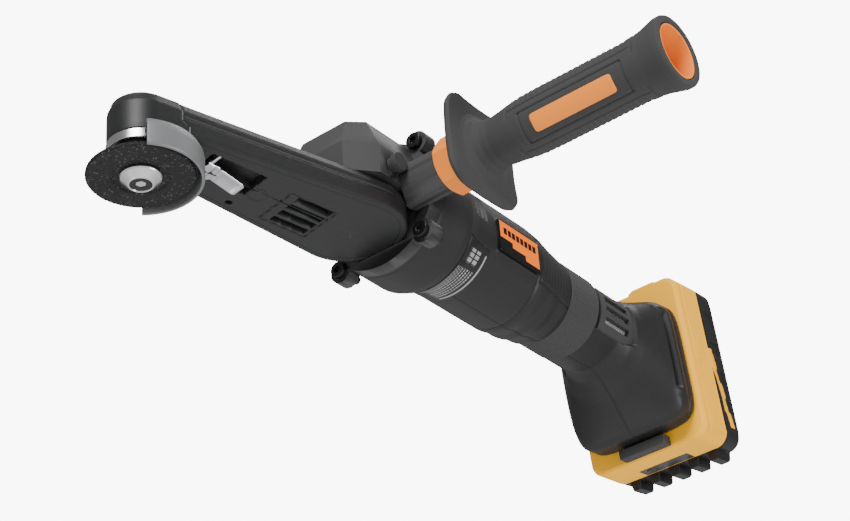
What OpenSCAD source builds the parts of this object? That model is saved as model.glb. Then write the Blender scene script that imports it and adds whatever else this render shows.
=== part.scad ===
// Cordless long-reach angle grinder: a motor body with a slide-on battery, a bevel gear case,
// and a belt-driven neck that carries a 50 mm disc. Millimetres.
// Working axes: +X from battery to disc along the motor axis, +Y to the side handle, +Z away
// from the disc. The origin of the working axes is the motor axis, near the side handle.

/* [Disc head] */
// Radius of the abrasive disc
disc_r = 25; // [20:0.5:30]
// Thickness of the abrasive disc at its rim
disc_t = 2.6; // [1.5:0.1:4]
// Height of the disc's working face, below the motor axis
disc_z = -46; // [-50:0.5:-45]
// Radius of the head at the front of the neck
head_r = 15.8; // [15.5:0.1:18]
// Height of the top of the head
head_top_z = -8.2; // [-9:0.1:-7]
// Height of the bottom of the head
head_bottom_z = -29.5; // [-30.5:0.1:-28.5]
// Outer radius of the guard's wall
guard_r = 28.5; // [28:0.5:34]
// Angle covered by the guard
guard_span = 174; // [120:1:200]
// Direction of the middle of the guard, from the neck's forward axis
guard_mid = 146.5; // [120:0.5:200]

/* [Neck] */
// Distance between the drive spindle and the disc spindle
belt_centres = 124; // [110:1:140]
// Angle of the neck, turned about the drive spindle from the motor axis
neck_yaw = -9; // [-15:0.5:0]
// Radius of the neck's round rear end
neck_rear_r = 27.7; // [26:0.1:30]
// Height of the neck's underside
neck_bottom_z = -26.1; // [-27:0.1:-25]
// Height of the neck's top
neck_top_z = -8.9; // [-9.5:0.1:-8.5]
// Height of the joint between the neck's shell and its cover
neck_joint_z = -17; // [-19:0.5:-15]
// Wall thickness of the neck
neck_wall = 2; // [1.6:0.1:2.4]

/* [Drive] */
// Position of the drive spindle along the motor axis
spindle_x = 9.5; // [8:0.5:12]
// Teeth on the motor pinion
pinion_teeth = 12; // [9:1:14]
// Teeth on the bevel gear
gear_teeth = 38; // [34:1:40]
// Large pitch radius of the bevel gear
gear_pitch_r = 19; // [18:0.5:20]
// Face width of the bevel teeth
tooth_face = 4.5; // [3:0.5:5]
// Radius of the rear pulley
rear_pulley_r = 18; // [15:0.5:19]
// Radius of the front pulley
front_pulley_r = 9.5; // [8:0.5:10.5]
// Width of the belt
belt_w = 7.2; // [6:0.2:7.6]
// Thickness of the belt
belt_t = 1.8; // [1.2:0.1:2.2]

/* [Gear case] */
// Half spacing of the four gear case screws
screw_pitch_half = 26.3; // [25:0.1:28]
// Front face of the rear flange
flange_x = -13.5; // [-15:0.5:-12]
// Rear face of the rear flange, where the motor housing starts
case_back_x = -21; // [-23:0.5:-20]
// Half width of the gear case
case_half_w = 28; // [26:0.5:29]
// Height of the gear case's vertical walls
case_wall_z = 8; // [6:0.5:10]
// Height of the gear case's top
case_top_z = 24.5; // [24:0.5:28]

/* [Side handle] */
// Position of the handle's axis along the motor axis
handle_x = -7.4; // [-9:0.1:-6]
// Height of the handle's axis
handle_z = -4; // [-6:0.5:0]
// Face of the boss that the handle screws against
handle_seat_y = 49; // [46:0.5:52]
// Face of the spare boss on the other side
spare_seat_y = -35.5; // [-38:0.5:-33]
// Radius of the handle's M8 thread
handle_thread_r = 4; // [3:0.5:6]
// Outer end of the handle
handle_end_y = 182; // [170:1:195]
// Radius of the grip where the palm holds it
grip_r = 15; // [13:0.5:17]
// Half width of the finger flange
finger_flange_w = 26; // [22:0.5:30]

/* [Motor body] */
// Radius of the housing's front collar
collar_r = 34.5; // [33:0.5:36]
// Radius of the housing around the motor
motor_r = 29.5; // [28:0.5:31]
// Radius of the handle part of the housing
wrist_r = 23.6; // [22:0.1:26]
// Rise of the housing's centre line at its rear end
wrist_rise = 3; // [0:0.5:4]

/* [Battery] */
// Tilt of the battery and its foot
pack_tilt = 7; // [0:0.5:10]
// Half width of the battery
pack_half_w = 38.8; // [37:0.1:40]
// Lower end of the battery
pack_low_z = -60.5; // [-64:0.5:-56]
// Upper end of the battery
pack_high_z = 46; // [40:0.5:50]
// Back of the battery
pack_back_x = -31; // [-34:0.5:-28]
// Line between the battery's base and its upper case
pack_split_x = -9; // [-14:0.5:-4]
// Top of the battery's case, where it meets the tool
pack_face_x = 16; // [14:0.5:18]

/* [Hidden] */

$fn = 64;
eps = 0.01;
gap = 0.3;

// colours
plastic = "#39393b";
rubber = "#303032";
cast = "#4a4b4e";
steel = "#b9bcc0";
guard_grey = "#6c6e70";
orange = "#ff8a10";
yellow = "#ffb81c";

// heights in the drive
pulley_top_z = -11.4;
pulley_low_z = -20.4;
belt_mid_z = (pulley_top_z + pulley_low_z) / 2;
cone_angle = atan(pinion_teeth / gear_teeth);
pinion_pitch_r = gear_pitch_r * pinion_teeth / gear_teeth;
cone_len = norm([gear_pitch_r, pinion_pitch_r]);
tooth_pitch = 2 * PI * gear_pitch_r / gear_teeth;

// battery axes and the place of the whole tool in its own frame
pack_pivot_x = -254;
slot_half_w = 23.3;
rail_half_w = 28;
case_front_x = spindle_x + 24;
yaw_x = spindle_x + belt_centres * cos(neck_yaw);
yaw_y = belt_centres * sin(neck_yaw);
low_corner_z = -(pack_split_x - 1) * sin(pack_tilt) + pack_low_z * cos(pack_tilt);
case_low_z = pack_low_z + 5;
base_chamfer = 10;

// neck features
head_joint_u = 111;
nose_r = head_r - 1.3;
nose_low_z = head_bottom_z - 5;
lever_u = 88;
lever_v = 3;
lever_z = neck_bottom_z + 1.4;

case_bolt_angles = [115, 155, 220, 270];

// bevel teeth, at their large end
tooth_root_w = 0.92;
tooth_tip_w = 0.3;
tooth_low = 0.95;
tooth_high = 0.7;
root_depth = 0.9;

// lock, handle, switch and intakes
lock_z = -0.5;
nut_end = 66;
switch_x = -92;
inner_wrist_r = wrist_r - 3;
stator_r = 25.1;
foot_low_z = -46;
foot_high_z = 28;
foot_half_w = 36;
ridge_z = motor_r + 3.5;
gauge_x = -2.5;
back_x = pack_pivot_x + pack_back_x * cos(pack_tilt) + (case_low_z + base_chamfer) * sin(pack_tilt);
centre_x = (yaw_x + disc_r + back_x) / 2;
centre_y = (yaw_y - disc_r + handle_end_y) / 2;

// ---------- placing ----------

// From the working axes to the part's frame: the origin is under the middle of the tool
module seat() translate([-centre_x, -centre_y, -low_corner_z]) children();

// Neck axes: origin on the drive spindle, +X to the disc spindle
module neck_axes() translate([spindle_x, 0, 0]) rotate([0, 0, neck_yaw]) children();
module on_neck() seat() neck_axes() children();

// Disc spindle axes
module on_disc() on_neck() translate([belt_centres, 0, 0]) children();

// Battery axes: +X to the tool, +Z the way the battery slides on
module pack_axes() translate([pack_pivot_x, 0, 0]) rotate([0, pack_tilt, 0]) children();
module on_pack() seat() pack_axes() children();

// Handle axes: +Z outwards along the handle, +X forwards, +Y down
module on_handle() seat() translate([handle_x, 0, handle_z]) rotate([-90, 0, 0]) children();

// A shape made along +Z, laid along +X from x
module along_x(x) translate([x, 0, 0]) rotate([0, 90, 0]) children();

// ---------- shapes ----------

module tube(r_out, r_in, h) difference() {
    cylinder(r = r_out, h = h);
    translate([0, 0, -1]) cylinder(r = r_in, h = h + 2);
}

// Ball bearing with a groove in each side, its lower side at z = 0
module bearing(r_out, r_in, w) difference() {
    tube(r_out, r_in, w);
    for (z = [-1, w - 0.5]) translate([0, 0, z]) tube(r_out - 1.3, r_in + 1.3, 1.5);
}

module rounded_rect(w, h, r) {
    square([w - 2 * r, h], center = true);
    square([w, h - 2 * r], center = true);
    for (x = [-1, 1], y = [-1, 1]) translate([x * (w / 2 - r), y * (h / 2 - r)]) circle(r);
}

// Two circles joined by their outer tangents, the first at the origin, the second at x = c
module belt_outline(r1, r2, c) {
    a = asin((r1 - r2) / c);
    circle(r1);
    translate([c, 0]) circle(r2);
    polygon([[r1 * sin(a), r1 * cos(a)], [c + r2 * sin(a), r2 * cos(a)],
        [c + r2 * sin(a), -r2 * cos(a)], [r1 * sin(a), -r1 * cos(a)]]);
}

// Slab of the neck's outline between two heights, pulled in by inset
module neck_slab(z0, z1, inset) translate([0, 0, z0])
    linear_extrude(z1 - z0) belt_outline(neck_rear_r - inset, head_r - inset, belt_centres);

// Cap screw along +Z, the underside of its head at z = 0
module cap_screw(r, l, head, head_h) {
    translate([0, 0, -l]) cylinder(r = r, h = l);
    difference() {
        cylinder(r = head, h = head_h);
        translate([0, 0, head_h * 0.4]) cylinder(r = head * 0.5, h = head_h, $fn = 6);
    }
}

// Box given by its low corner and its high corner
module box(low, high) translate(low) cube(high - low);

// ---------- gear case ----------

module case_outline(inset) {
    w = case_half_w - inset;
    f = case_front_x - inset;
    polygon([[case_back_x + 4, -w], [spindle_x + 9.4, -w], [f, inset / 2 - 17], [f, 17 - inset / 2],
        [spindle_x + 9.4, w], [case_back_x + 4, w]]);
}

module screw_places(x) for (y = [-1, 1], z = [-1, 1])
    translate([x, y * screw_pitch_half, z * screw_pitch_half]) rotate([0, 90, 0]) children();

module case_solid() {
    hull() {
        translate([0, 0, neck_top_z]) linear_extrude(case_wall_z - neck_top_z) case_outline(0);
        translate([0, 0, case_top_z - 1]) linear_extrude(1) case_outline(7);
    }
    along_x(case_back_x) cylinder(r = collar_r, h = flange_x - case_back_x);
    screw_places(case_back_x) cylinder(r = 6.4, h = flange_x - case_back_x);
    translate([handle_x, spare_seat_y, handle_z]) rotate([-90, 0, 0]) cylinder(r = 9.5, h = 12);
    translate([handle_x, 24, handle_z]) rotate([-90, 0, 0]) cylinder(r = 11.5, h = handle_seat_y - 24);
}

module gear_case() seat() color(cast) difference() {
    case_solid();
    // the neck's rear end is let into the front of the flange
    neck_axes() neck_slab(neck_bottom_z - gap, neck_top_z + eps, -0.4);
    // room for the bevel gear, and the seats of its two bearings
    translate([spindle_x, 0, -1]) cylinder(r = gear_pitch_r + 1.6, h = 13.4);
    translate([spindle_x, 0, 11]) cylinder(r = 15, h = 3.5);
    translate([spindle_x, 0, 14]) cylinder(r = 11.02, h = 8.5);
    translate([spindle_x, 0, -12]) cylinder(r = 12.02, h = 9.6);
    translate([spindle_x, 0, -3]) cylinder(r = 10, h = 3);
    // the pinion's room and the motor bearing's seat
    along_x(case_back_x - 1) cylinder(r = 8.52, h = 8.1);
    along_x(case_back_x) cylinder(r = 7.8, h = 25);
    // threaded holes for the side handle
    translate([handle_x, 0, handle_z]) for (s = [-1, 1]) translate([0, s * 20, 0])
        rotate([s * -90, 0, 0]) cylinder(r = handle_thread_r, h = 40);
    screw_places(case_back_x - 1) cylinder(r = 2.22, h = 10);
    case_bolt_places() cylinder(r = 1.42, h = 12);
    // the lock button's hole and its pin's hole
    on_lock(22) cylinder(r = 4.3, h = 10);
    on_lock(2) cylinder(r = 1.8, h = 28);
}

module gear_case_screws() seat() color(plastic) screw_places(flange_x) cap_screw(2.2, 13, 4.2, 3);

// Axes of the lock button: +Z outwards, from the height h
module on_lock(h) translate([spindle_x, h, lock_z]) rotate([-90, 0, 0]) children();

module lock_button() seat() on_lock(25.5) color(plastic) difference() {
    union() {
        cylinder(r = 4, h = 7);
        translate([0, 0, 5]) cylinder(r = 5, h = 3);
    }
    translate([0, 0, -1]) cylinder(r = 1.42, h = 5);
}

module lock_pin() seat() on_lock(7.8) color(steel) cylinder(r = 1.4, h = 21);

module lock_spring() seat() on_lock(22.2) color(steel) tube(3.6, 2.8, 3.1);

// ---------- neck ----------

// Screws that hold the neck up to the gear case
module case_bolt_places() neck_axes() for (a = case_bolt_angles) rotate([0, 0, a])
    translate([22.8, 0, neck_top_z - neck_wall]) children();

module post_places() for (p = [[-22.9, 0], [56, -2], [104, 0]]) translate(p) children();

module neck_shell() on_neck() color(plastic) difference() {
    intersection() {
        union() {
            difference() {
                neck_slab(neck_joint_z, neck_top_z, 0);
                neck_slab(neck_joint_z - 1, neck_top_z - neck_wall, neck_wall);
            }
            post_places() translate([0, 0, neck_bottom_z + neck_wall])
                cylinder(r = 2.5, h = neck_top_z - neck_bottom_z - 1.5 * neck_wall);
        }
        box([-40, -40, -40], [head_joint_u, 40, 0]);
    }
    translate([0, 0, -20]) cylinder(r = 7, h = 20);
    post_places() translate([0, 0, neck_bottom_z]) cylinder(r = 1.42, h = 14);
    for (a = case_bolt_angles) rotate([0, 0, a]) translate([22.8, 0, neck_joint_z])
        cylinder(r = 1.42, h = 20);
}

// Pocket that the guard's clamp lever folds into
module lever_pocket(wall, roof) box([lever_u - 27 - wall, lever_v - 9 - wall, neck_bottom_z - eps],
    [lever_u + 4.5 + wall, lever_v + 9 + wall, neck_bottom_z + 4.4 + roof]);

module neck_cover() on_neck() color(plastic) difference() {
    union() {
        difference() {
            neck_slab(neck_bottom_z, neck_joint_z, 0);
            neck_slab(neck_bottom_z + neck_wall, neck_joint_z + 1, neck_wall);
            box([head_joint_u, -40, -40], [200, 40, 0]);
        }
        lever_pocket(1.2, 1.2);
    }
    lever_pocket(0, 0);
    translate([lever_u, lever_v - 11, lever_z]) rotate([-90, 0, 0]) cylinder(r = 1.22, h = 22);
    for (i = [0:3]) translate([28, 5.5 - 6.2 * i, neck_bottom_z - 1])
        linear_extrude(4) rounded_rect(23, 3.2, 1.5);
    post_places() translate([0, 0, neck_bottom_z - 1]) cylinder(r = 1.6, h = 4);
    post_places() translate([0, 0, neck_bottom_z - 1]) cylinder(r = 2.6, h = 2.2);
    translate([lever_u - 25, -15, neck_bottom_z - 1]) cylinder(r = 2.4, h = 2.2);
}

module neck_screws() color(steel) {
    on_neck() post_places() translate([0, 0, neck_bottom_z + 1.2]) mirror([0, 0, 1])
        cap_screw(1.4, 11, 2.4, 1.1);
    seat() case_bolt_places() mirror([0, 0, 1]) cap_screw(1.4, 11, 2.4, 1.1);
}

module head_housing() on_neck() color(plastic) difference() {
    intersection() {
        neck_slab(head_bottom_z, head_top_z, 0);
        box([head_joint_u, -40, -40], [200, 40, 0]);
    }
    neck_slab(pulley_low_z - 0.5, pulley_top_z + 1, neck_wall);
    translate([belt_centres, 0, -25.3]) cylinder(r = 9.52, h = 6);
    translate([belt_centres, 0, -40]) cylinder(r = 6, h = 20);
    head_screw_places() translate([0, 0, -40]) cylinder(r = 1.42, h = 16);
}

module head_screw_places() for (a = [45:90:315])
    translate([belt_centres, 0, 0]) rotate([0, 0, a]) translate([12, 0, 0]) children();

module head_screws() on_neck() color(steel) head_screw_places() translate([0, 0, nose_low_z + 1.5])
    mirror([0, 0, 1]) cap_screw(1.4, 8.4, 2, 1.4);

// Nose under the head: holds the lower bearing, and the guard turns on it
module spindle_nose() on_disc() color(plastic) difference() {
    rotate_extrude() polygon([[6, head_bottom_z], [nose_r, head_bottom_z], [nose_r, nose_low_z],
        [nose_r - 0.6, nose_low_z], [11, nose_low_z - 3.6], [6, nose_low_z - 3.6]]);
    translate([0, 0, nose_low_z]) cylinder(r = 9.52, h = 6);
    for (a = [45:90:315]) rotate([0, 0, a]) translate([12, 0, nose_low_z - 5]) {
        cylinder(r = 1.42, h = 12);
        cylinder(r = 2.05, h = 6.5);
    }
}

// ---------- disc spindle ----------

module head_upper_bearing() on_disc() color(steel) translate([0, 0, -25.2]) bearing(9.5, 4.05, 4.3);

module head_lower_bearing() on_disc() color(steel) translate([0, 0, nose_low_z + 0.1])
    bearing(9.5, 4.05, 4.2);

module output_spindle() on_disc() color(steel) difference() {
    translate([0, 0, disc_z + disc_t]) cylinder(r = 4, h = pulley_top_z + 0.3 - disc_z - disc_t);
    translate([0, 0, disc_z]) cylinder(r = 3, h = 14);
}

module pulley(r, shaft_r) {
    difference() {
        rotate_extrude() polygon([[shaft_r + 0.02, 0], [r + 1.6, 0], [r + 1.6, 0.4], [r, 0.5],
            [r, 8.5], [r + 1.6, 8.6], [r + 1.6, 9], [shaft_r + 0.02, 9]]);
        for (z = [-1, 7]) translate([0, 0, z]) tube(r - 2.5, shaft_r + 2.4, 3);
    }
}

module front_pulley() on_disc() color(steel) translate([0, 0, pulley_low_z]) pulley(front_pulley_r, 4);

module rear_pulley() on_neck() color(steel) translate([0, 0, pulley_low_z]) pulley(rear_pulley_r, 5);

module drive_belt() on_neck() color(rubber) translate([0, 0, belt_mid_z - belt_w / 2])
    linear_extrude(belt_w) difference() {
        belt_loop(belt_t + 0.1);
        belt_loop(0.1);
    }

module belt_loop(out) hull() {
    circle(rear_pulley_r + out);
    translate([belt_centres, 0]) circle(front_pulley_r + out);
}

module backing_flange() on_disc() color(steel) difference() {
    union() {
        translate([0, 0, disc_z + disc_t]) cylinder(r = 12.5, h = 3.2);
        translate([0, 0, disc_z + disc_t + 3]) cylinder(r = 8.5, h = 1.8);
    }
    translate([0, 0, disc_z]) cylinder(r = 4.02, h = 12);
    for (i = [0:7]) rotate([0, 0, 45 * i]) translate([12.6, 0, disc_z + disc_t + 1.2])
        cylinder(r = 1.8, h = 3);
}

module abrasive_disc() on_disc() color("#262628") rotate_extrude() polygon([[3.2, disc_z + 0.8],
    [11.5, disc_z + 0.8], [13, disc_z], [disc_r - 0.4, disc_z], [disc_r, disc_z + 0.4],
    [disc_r, disc_z + disc_t - 0.4], [disc_r - 0.4, disc_z + disc_t], [3.2, disc_z + disc_t]]);

module clamp_flange() on_disc() color(steel) rotate_extrude() polygon([[3.1, disc_z + 0.8],
    [9.8, disc_z + 0.8], [9.8, disc_z - 0.6], [6.2, disc_z - 3.8], [5.2, disc_z - 3.8],
    [5.2, disc_z - 1.2], [3.1, disc_z - 1.2]]);

module clamp_bolt() on_disc() color(plastic) translate([0, 0, disc_z - 1.2]) mirror([0, 0, 1])
    cap_screw(2.96, 12, 5, 2.3);

// ---------- gear drive ----------

// Straight bevel tooth on a cone whose line rises at the angle a; the cone's point is the origin
module cone_tooth(a) rotate([0, -a, 0]) translate([cone_len, 0, 0]) rotate([-90, 0, 90])
    linear_extrude(height = tooth_face, scale = (cone_len - tooth_face) / cone_len)
        polygon([[-tooth_root_w, -tooth_low], [tooth_root_w, -tooth_low],
            [tooth_tip_w, tooth_high], [-tooth_tip_w, tooth_high]]);

// Point on the tooth roots' cone, s along the pitch line, as radius and height
function root_point(a, s) = [s * cos(a) - root_depth * s / cone_len * sin(a),
    s * sin(a) + root_depth * s / cone_len * cos(a)];

module bevel_gear() seat() translate([spindle_x, 0, 0]) color(steel) {
    rotate_extrude() polygon([[6.02, 4.9], root_point(cone_angle, cone_len - tooth_face),
        root_point(cone_angle, cone_len), [19.6, 9], [19.6, 10.4], [12, 13], [6.02, 13]]);
    for (i = [0:gear_teeth - 1]) rotate([0, 0, (i + 0.5) * 360 / gear_teeth]) cone_tooth(cone_angle);
}

module pinion() seat() translate([spindle_x, 0, 0]) rotate([0, -90, 0]) color(steel) {
    rotate_extrude() polygon([[3.02, 14.9], root_point(90 - cone_angle, cone_len - tooth_face),
        root_point(90 - cone_angle, cone_len), [5, 22.8], [3.02, 22.8]]);
    for (i = [0:pinion_teeth - 1]) rotate([0, 0, i * 360 / pinion_teeth]) cone_tooth(90 - cone_angle);
}

module main_spindle() seat() translate([spindle_x, 0, 0]) color(steel) {
    translate([0, 0, -8.6]) cylinder(r = 6, h = 21.8);
    translate([0, 0, pulley_low_z - 0.6]) cylinder(r = 5, h = 42);
}

module spindle_upper_bearing() seat() translate([spindle_x, 0, 14.6]) color(steel)
    bearing(11, 5.05, 6.8);

module spindle_lower_bearing() seat() translate([spindle_x, 0, -8.5]) color(steel)
    bearing(12, 6.05, 6);

// ---------- motor ----------

module rotor_shaft() seat() color(steel) along_x(-112) cylinder(r = 3, h = 107);

module rotor_core() seat() color("#8c8f94") along_x(-97) difference() {
    cylinder(r = 11.4, h = 34);
    translate([0, 0, -1]) cylinder(r = 3.02, h = 36);
}

module cooling_fan() seat() color(plastic) along_x(-48) {
    tube(23, 3.02, 1.6);
    tube(6, 3.02, 11);
    for (i = [0:10]) rotate([0, 0, i * 360 / 11]) translate([5.5, -0.7, 1]) cube([17, 1.4, 9]);
}

module motor_front_bearing() seat() color(steel) along_x(-20) bearing(8.5, 3.05, 6);

module motor_rear_bearing() seat() color(steel) along_x(-109) bearing(8, 3.05, 5);

module stator() seat() color("#a0522d") along_x(-96) difference() {
    cylinder(r = 25.1, h = 32);
    translate([0, 0, -1]) cylinder(r = 12, h = 34);
    for (i = [0:5]) rotate([0, 0, 60 * i]) translate([17.5, 0, -1]) cylinder(r = 3.4, h = 34);
}

// ---------- guard ----------

module guard_band() on_disc() color(steel) translate([0, 0, nose_low_z + 0.1])
    tube(nose_r + 1.4, nose_r + 0.05, head_bottom_z - nose_low_z - 0.4);

module guard() on_disc() color(guard_grey) rotate([0, 0, guard_mid - guard_span / 2])
    rotate_extrude(angle = guard_span) guard_profile();

module guard_profile() {
    top = head_bottom_z - 0.5;
    low = disc_z - 1.2;
    r_in = guard_r - 1.6;
    polygon([[nose_r + 1.4, top], [guard_r - 6, top], [guard_r - 2.2, top - 1.8], [guard_r, top - 6],
        [guard_r, low], [r_in, low], [r_in, top - 6], [guard_r - 3.4, top - 3],
        [guard_r - 6.4, top - 1.6], [nose_r + 1.4, top - 1.6]]);
}

module guard_lever() on_neck() color(steel) translate([lever_u, lever_v, lever_z]) difference() {
    union() {
        rotate([90, 0, 0]) translate([0, 0, -6]) cylinder(r = 2.6, h = 12);
        rotate([0, -12, 0]) translate([-22.5, -5.5, -2.4]) cube([22.5, 11, 1.8]);
    }
    rotate([90, 0, 0]) translate([0, 0, -10]) cylinder(r = 1.27, h = 20);
}

module lever_pin() on_neck() color(steel) translate([lever_u, lever_v - 10.4, lever_z])
    rotate([-90, 0, 0]) cylinder(r = 1.2, h = 20.8);

// ---------- side handle ----------

module handle_stud() on_handle() color(steel) translate([0, 0, 22]) cylinder(r = handle_thread_r - 0.05, h = 60);

module handle_nut() on_handle() color(orange) difference() {
    intersection() {
        translate([0, 0, handle_seat_y + gap]) cylinder(r = 15, h = nut_end - handle_seat_y - gap, $fn = 6);
        translate([0, 0, handle_seat_y + gap])
            cylinder(r1 = 12.6, r2 = 12.6 + (nut_end - handle_seat_y) * 1.5, h = nut_end - handle_seat_y);
    }
    translate([0, 0, handle_seat_y]) cylinder(r = handle_thread_r, h = 40);
}

module handle_grip() on_handle() color(rubber) difference() {
    union() {
        translate([0, 0, nut_end]) linear_extrude(4)
            rounded_rect(2 * finger_flange_w, 2 * finger_flange_w, 10);
        rotate_extrude() polygon([[0, nut_end + 3], [17, nut_end + 3], [13.4, nut_end + 7],
            [12.4, nut_end + 13], [13.6, nut_end + 24], [grip_r, nut_end + 36], [grip_r, 160],
            [16, 170], [18.3, 177], [18.3, handle_end_y], [0, handle_end_y]]);
    }
    translate([0, 0, nut_end - 1]) cylinder(r = handle_thread_r, h = 20);
    rotate_extrude() polygon([[0, 128], [11.2, 128], [11.2, 150], [14.3, handle_end_y + 1],
        [0, handle_end_y + 1]]);
    insert_places() insert_block(0.05);
}

module insert_places() for (a = [38, 218]) rotate([0, 0, a]) children();

module insert_block(play) intersection() {
    translate([0, 0, 100]) tube(grip_r + 0.3 + play, grip_r - 1.2 - play, 60);
    translate([0, 0, 130]) rotate([0, 90, 0]) linear_extrude(20)
        rounded_rect(46 + 2 * play, 9 + 2 * play, 2);
}

module handle_inserts() on_handle() color(orange) insert_places() insert_block(0);

module handle_end_tube() on_handle() color(orange) rotate_extrude() polygon([[0, 128.2], [11.1, 128.2],
    [11.1, 150], [14, handle_end_y - 0.6], [13, handle_end_y - 0.6], [10.1, 150], [10.1, 129.6],
    [0, 129.6]]);

// ---------- motor housing ----------

module wrist_x(x) translate([0, 0, wrist_rise]) along_x(x) children();

module housing_solid() {
    along_x(-122) rotate_extrude() polygon([[0, 0], [motor_r - 1, 0], [motor_r, 12], [motor_r, 64],
        [collar_r, 76], [collar_r, 122 + case_back_x], [0, 122 + case_back_x]]);
    wrist_x(-200) cylinder(r = wrist_r, h = 70);
    hull() {
        along_x(-122) cylinder(r = motor_r - 1, h = 1, $fn = 48);
        wrist_x(-146) cylinder(r = wrist_r, h = 1, $fn = 48);
    }
    // ridge along the top, under the switch
    box([-136, -17, 0], [-62, 17, ridge_z]);
    // battery foot
    hull() {
        wrist_x(-200) cylinder(r = wrist_r, h = 12, $fn = 48);
        pack_axes() translate([pack_face_x + gap, 0, (foot_high_z + foot_low_z) / 2]) rotate([0, 90, 0])
            linear_extrude(14) rounded_rect(foot_high_z - foot_low_z, 2 * foot_half_w, 12, $fn = 48);
    }
}

module housing_hollow() {
    along_x(case_back_x - 28) cylinder(r = collar_r - 3, h = 30);
    along_x(-120) cylinder(r = stator_r + 0.02, h = 80);
    wrist_x(-200) cylinder(r = inner_wrist_r, h = 84);
    box([-132, -12, 0], [-66, 12, ridge_z - 3]);
    hull() {
        wrist_x(-200) cylinder(r = inner_wrist_r, h = 4, $fn = 48);
        pack_axes() box([pack_face_x + 18.5, -24, -30], [pack_face_x + 19, 24, 18]);
    }
}

// Slots that the battery's rails slide in, open at the lower end, and the room for the terminals
module rail_room() pack_axes() {
    box([pack_face_x - 1, -slot_half_w - gap, -70], [pack_face_x + 4, slot_half_w + gap, 24]);
    box([pack_face_x + 3.7, -rail_half_w - gap, -70], [pack_face_x + 10.8, rail_half_w + gap, 24]);
    box([pack_face_x + 10, -19, -30], [pack_face_x + 16, 19, 22]);
    box([pack_face_x + 15, -6, 0], [pack_face_x + 20, 6, 10]);
}

module half_space(s) box([-300, s > 0 ? -60 : 0, -90], [0, s > 0 ? 0 : 60, 90]);

module housing_half(s) difference() {
    union() {
        difference() {
            housing_solid();
            housing_hollow();
        }
        along_x(-110) tube(stator_r + 0.5, 8.02, 7);
        screw_spots([-190, -150], -13.5 - wrist_rise) translate([0, 0, -6]) cylinder(r = 3.2, h = 12);
        // lugs for the gear case's screws
        screw_places(case_back_x - 9) cylinder(r1 = 4, r2 = 6.4, h = 9);
    }
    screw_places(case_back_x - 8) cylinder(r = 2.22, h = 9);
    half_space(s);
    rail_room();
    intake_window();
    intake_recess();
    housing_screw_places() {
        translate([0, 0, -6]) cylinder(r = 1.42, h = 14);
        translate([0, 0, 6]) cylinder(r = 2.4, h = 30);
    }
    translate([switch_x, 0, 0]) box([-13, -4.3, 20], [20, 4.3, 40]);
    name_recess();
}

module housing_left() seat() color(plastic) housing_half(1);
module housing_right() seat() color(plastic) housing_half(-1);

module screw_spots(xs, z) for (x = xs) translate([x, 0, z]) rotate([-90, 0, 0]) children();

module housing_screw_places() {
    screw_spots([-104, -53], -26.9) children();
    screw_spots([-190, -150], -13.5 - wrist_rise) children();
}

module housing_screws() seat() color(steel) housing_screw_places() translate([0, 0, 6])
    cap_screw(1.4, 11.9, 2.3, 1.8);

// Rubber sleeve where the hand holds the wrist
module grip_sleeve() seat() color(rubber) difference() {
    wrist_x(-172) tube(wrist_r + 1, wrist_r + 0.02, 25);
    box([-173, -4.4, 0], [-140, 4.4, 60]);
}

module name_plate() seat() color(orange) box([-110.8, 28.1, -9.8], [-75.2, 29.1, 9.8]);
module name_recess() box([-111, 28, -10], [-75, 40, 10]);

module rating_plate() seat() color(rubber) along_x(-73) rotate([0, 0, -50])
    rotate_extrude(angle = 110) translate([motor_r + 0.03, 0]) square([0.4, 14]);

// Shapes of the two air intakes, one on each side of the wrist
module intake_ring(r_in, r_out, inset) for (s = [0, 1]) mirror([0, s, 0]) intersection() {
    wrist_x(-206) tube(r_out, r_in, 36);
    box([-206 + inset, 4, -11 + inset], [-174 - inset, 60, 14 - inset]);
}
module intake_recess() intake_ring(wrist_r - 1.42, wrist_r + 20, 0);
module intake_window() intake_ring(1, wrist_r + 1, 3);

module intake_covers() seat() color(rubber) difference() {
    intake_ring(wrist_r - 1.4, wrist_r + 0.9, 0.1);
    for (i = [-1:1]) translate([-190, 0, 1.5 + 6.6 * i]) box([-11, -60, -1.9], [11, 60, 1.9]);
}

module intake_filters() seat() color(steel) intake_ring(inner_wrist_r + 0.4, wrist_r - 1.5, 3.1);

// ---------- switch and electronics ----------

module switch_slider() seat() color(rubber) translate([switch_x, 0, 0]) {
    box([-8, -4, ridge_z - 5], [8, 4, ridge_z + 2]);
    box([-11, -10, ridge_z - 4.9], [11, 10, ridge_z - 3.3]);
    box([-12, -8.5, ridge_z + gap], [13, 8.5, ridge_z + 3.2]);
    // rod to the switch
    box([-27.6, -1.5, ridge_z - 4.9], [-10, 1.5, ridge_z - 3.9]);
}

module switch_body() seat() color(plastic) {
    box([-131, -8, 9], [-110, 8, 25]);
    box([-126, -2, 24.5], [-120, 2, 29]);
}

module control_module() seat() color("#1f5f8a") translate([0, 0, wrist_rise]) difference() {
    box([-192, -17.4, -11], [-140, 17.4, 11]);
    box([-190.5, -15.9, 5], [-141.5, 15.9, 12]);
}

module terminal_block() seat() pack_axes() color(plastic) {
    box([pack_face_x + 11.5, -17, -6], [pack_face_x + 16, 17, 21]);
    for (i = [-2:2]) box([pack_face_x + 6, 7 * i - 0.4, 4], [pack_face_x + 12, 7 * i + 0.4, 19]);
}

// ---------- battery ----------

module pack_slab(x0, x1) translate([x0, 0, (pack_high_z + case_low_z) / 2]) rotate([0, 90, 0])
    linear_extrude(x1 - x0) rounded_rect(pack_high_z - case_low_z, 2 * pack_half_w, 9);

module pack_hollow() box([pack_back_x + 3, -34, -49.2], [pack_face_x - 4, 34, pack_high_z - 2]);

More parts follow.
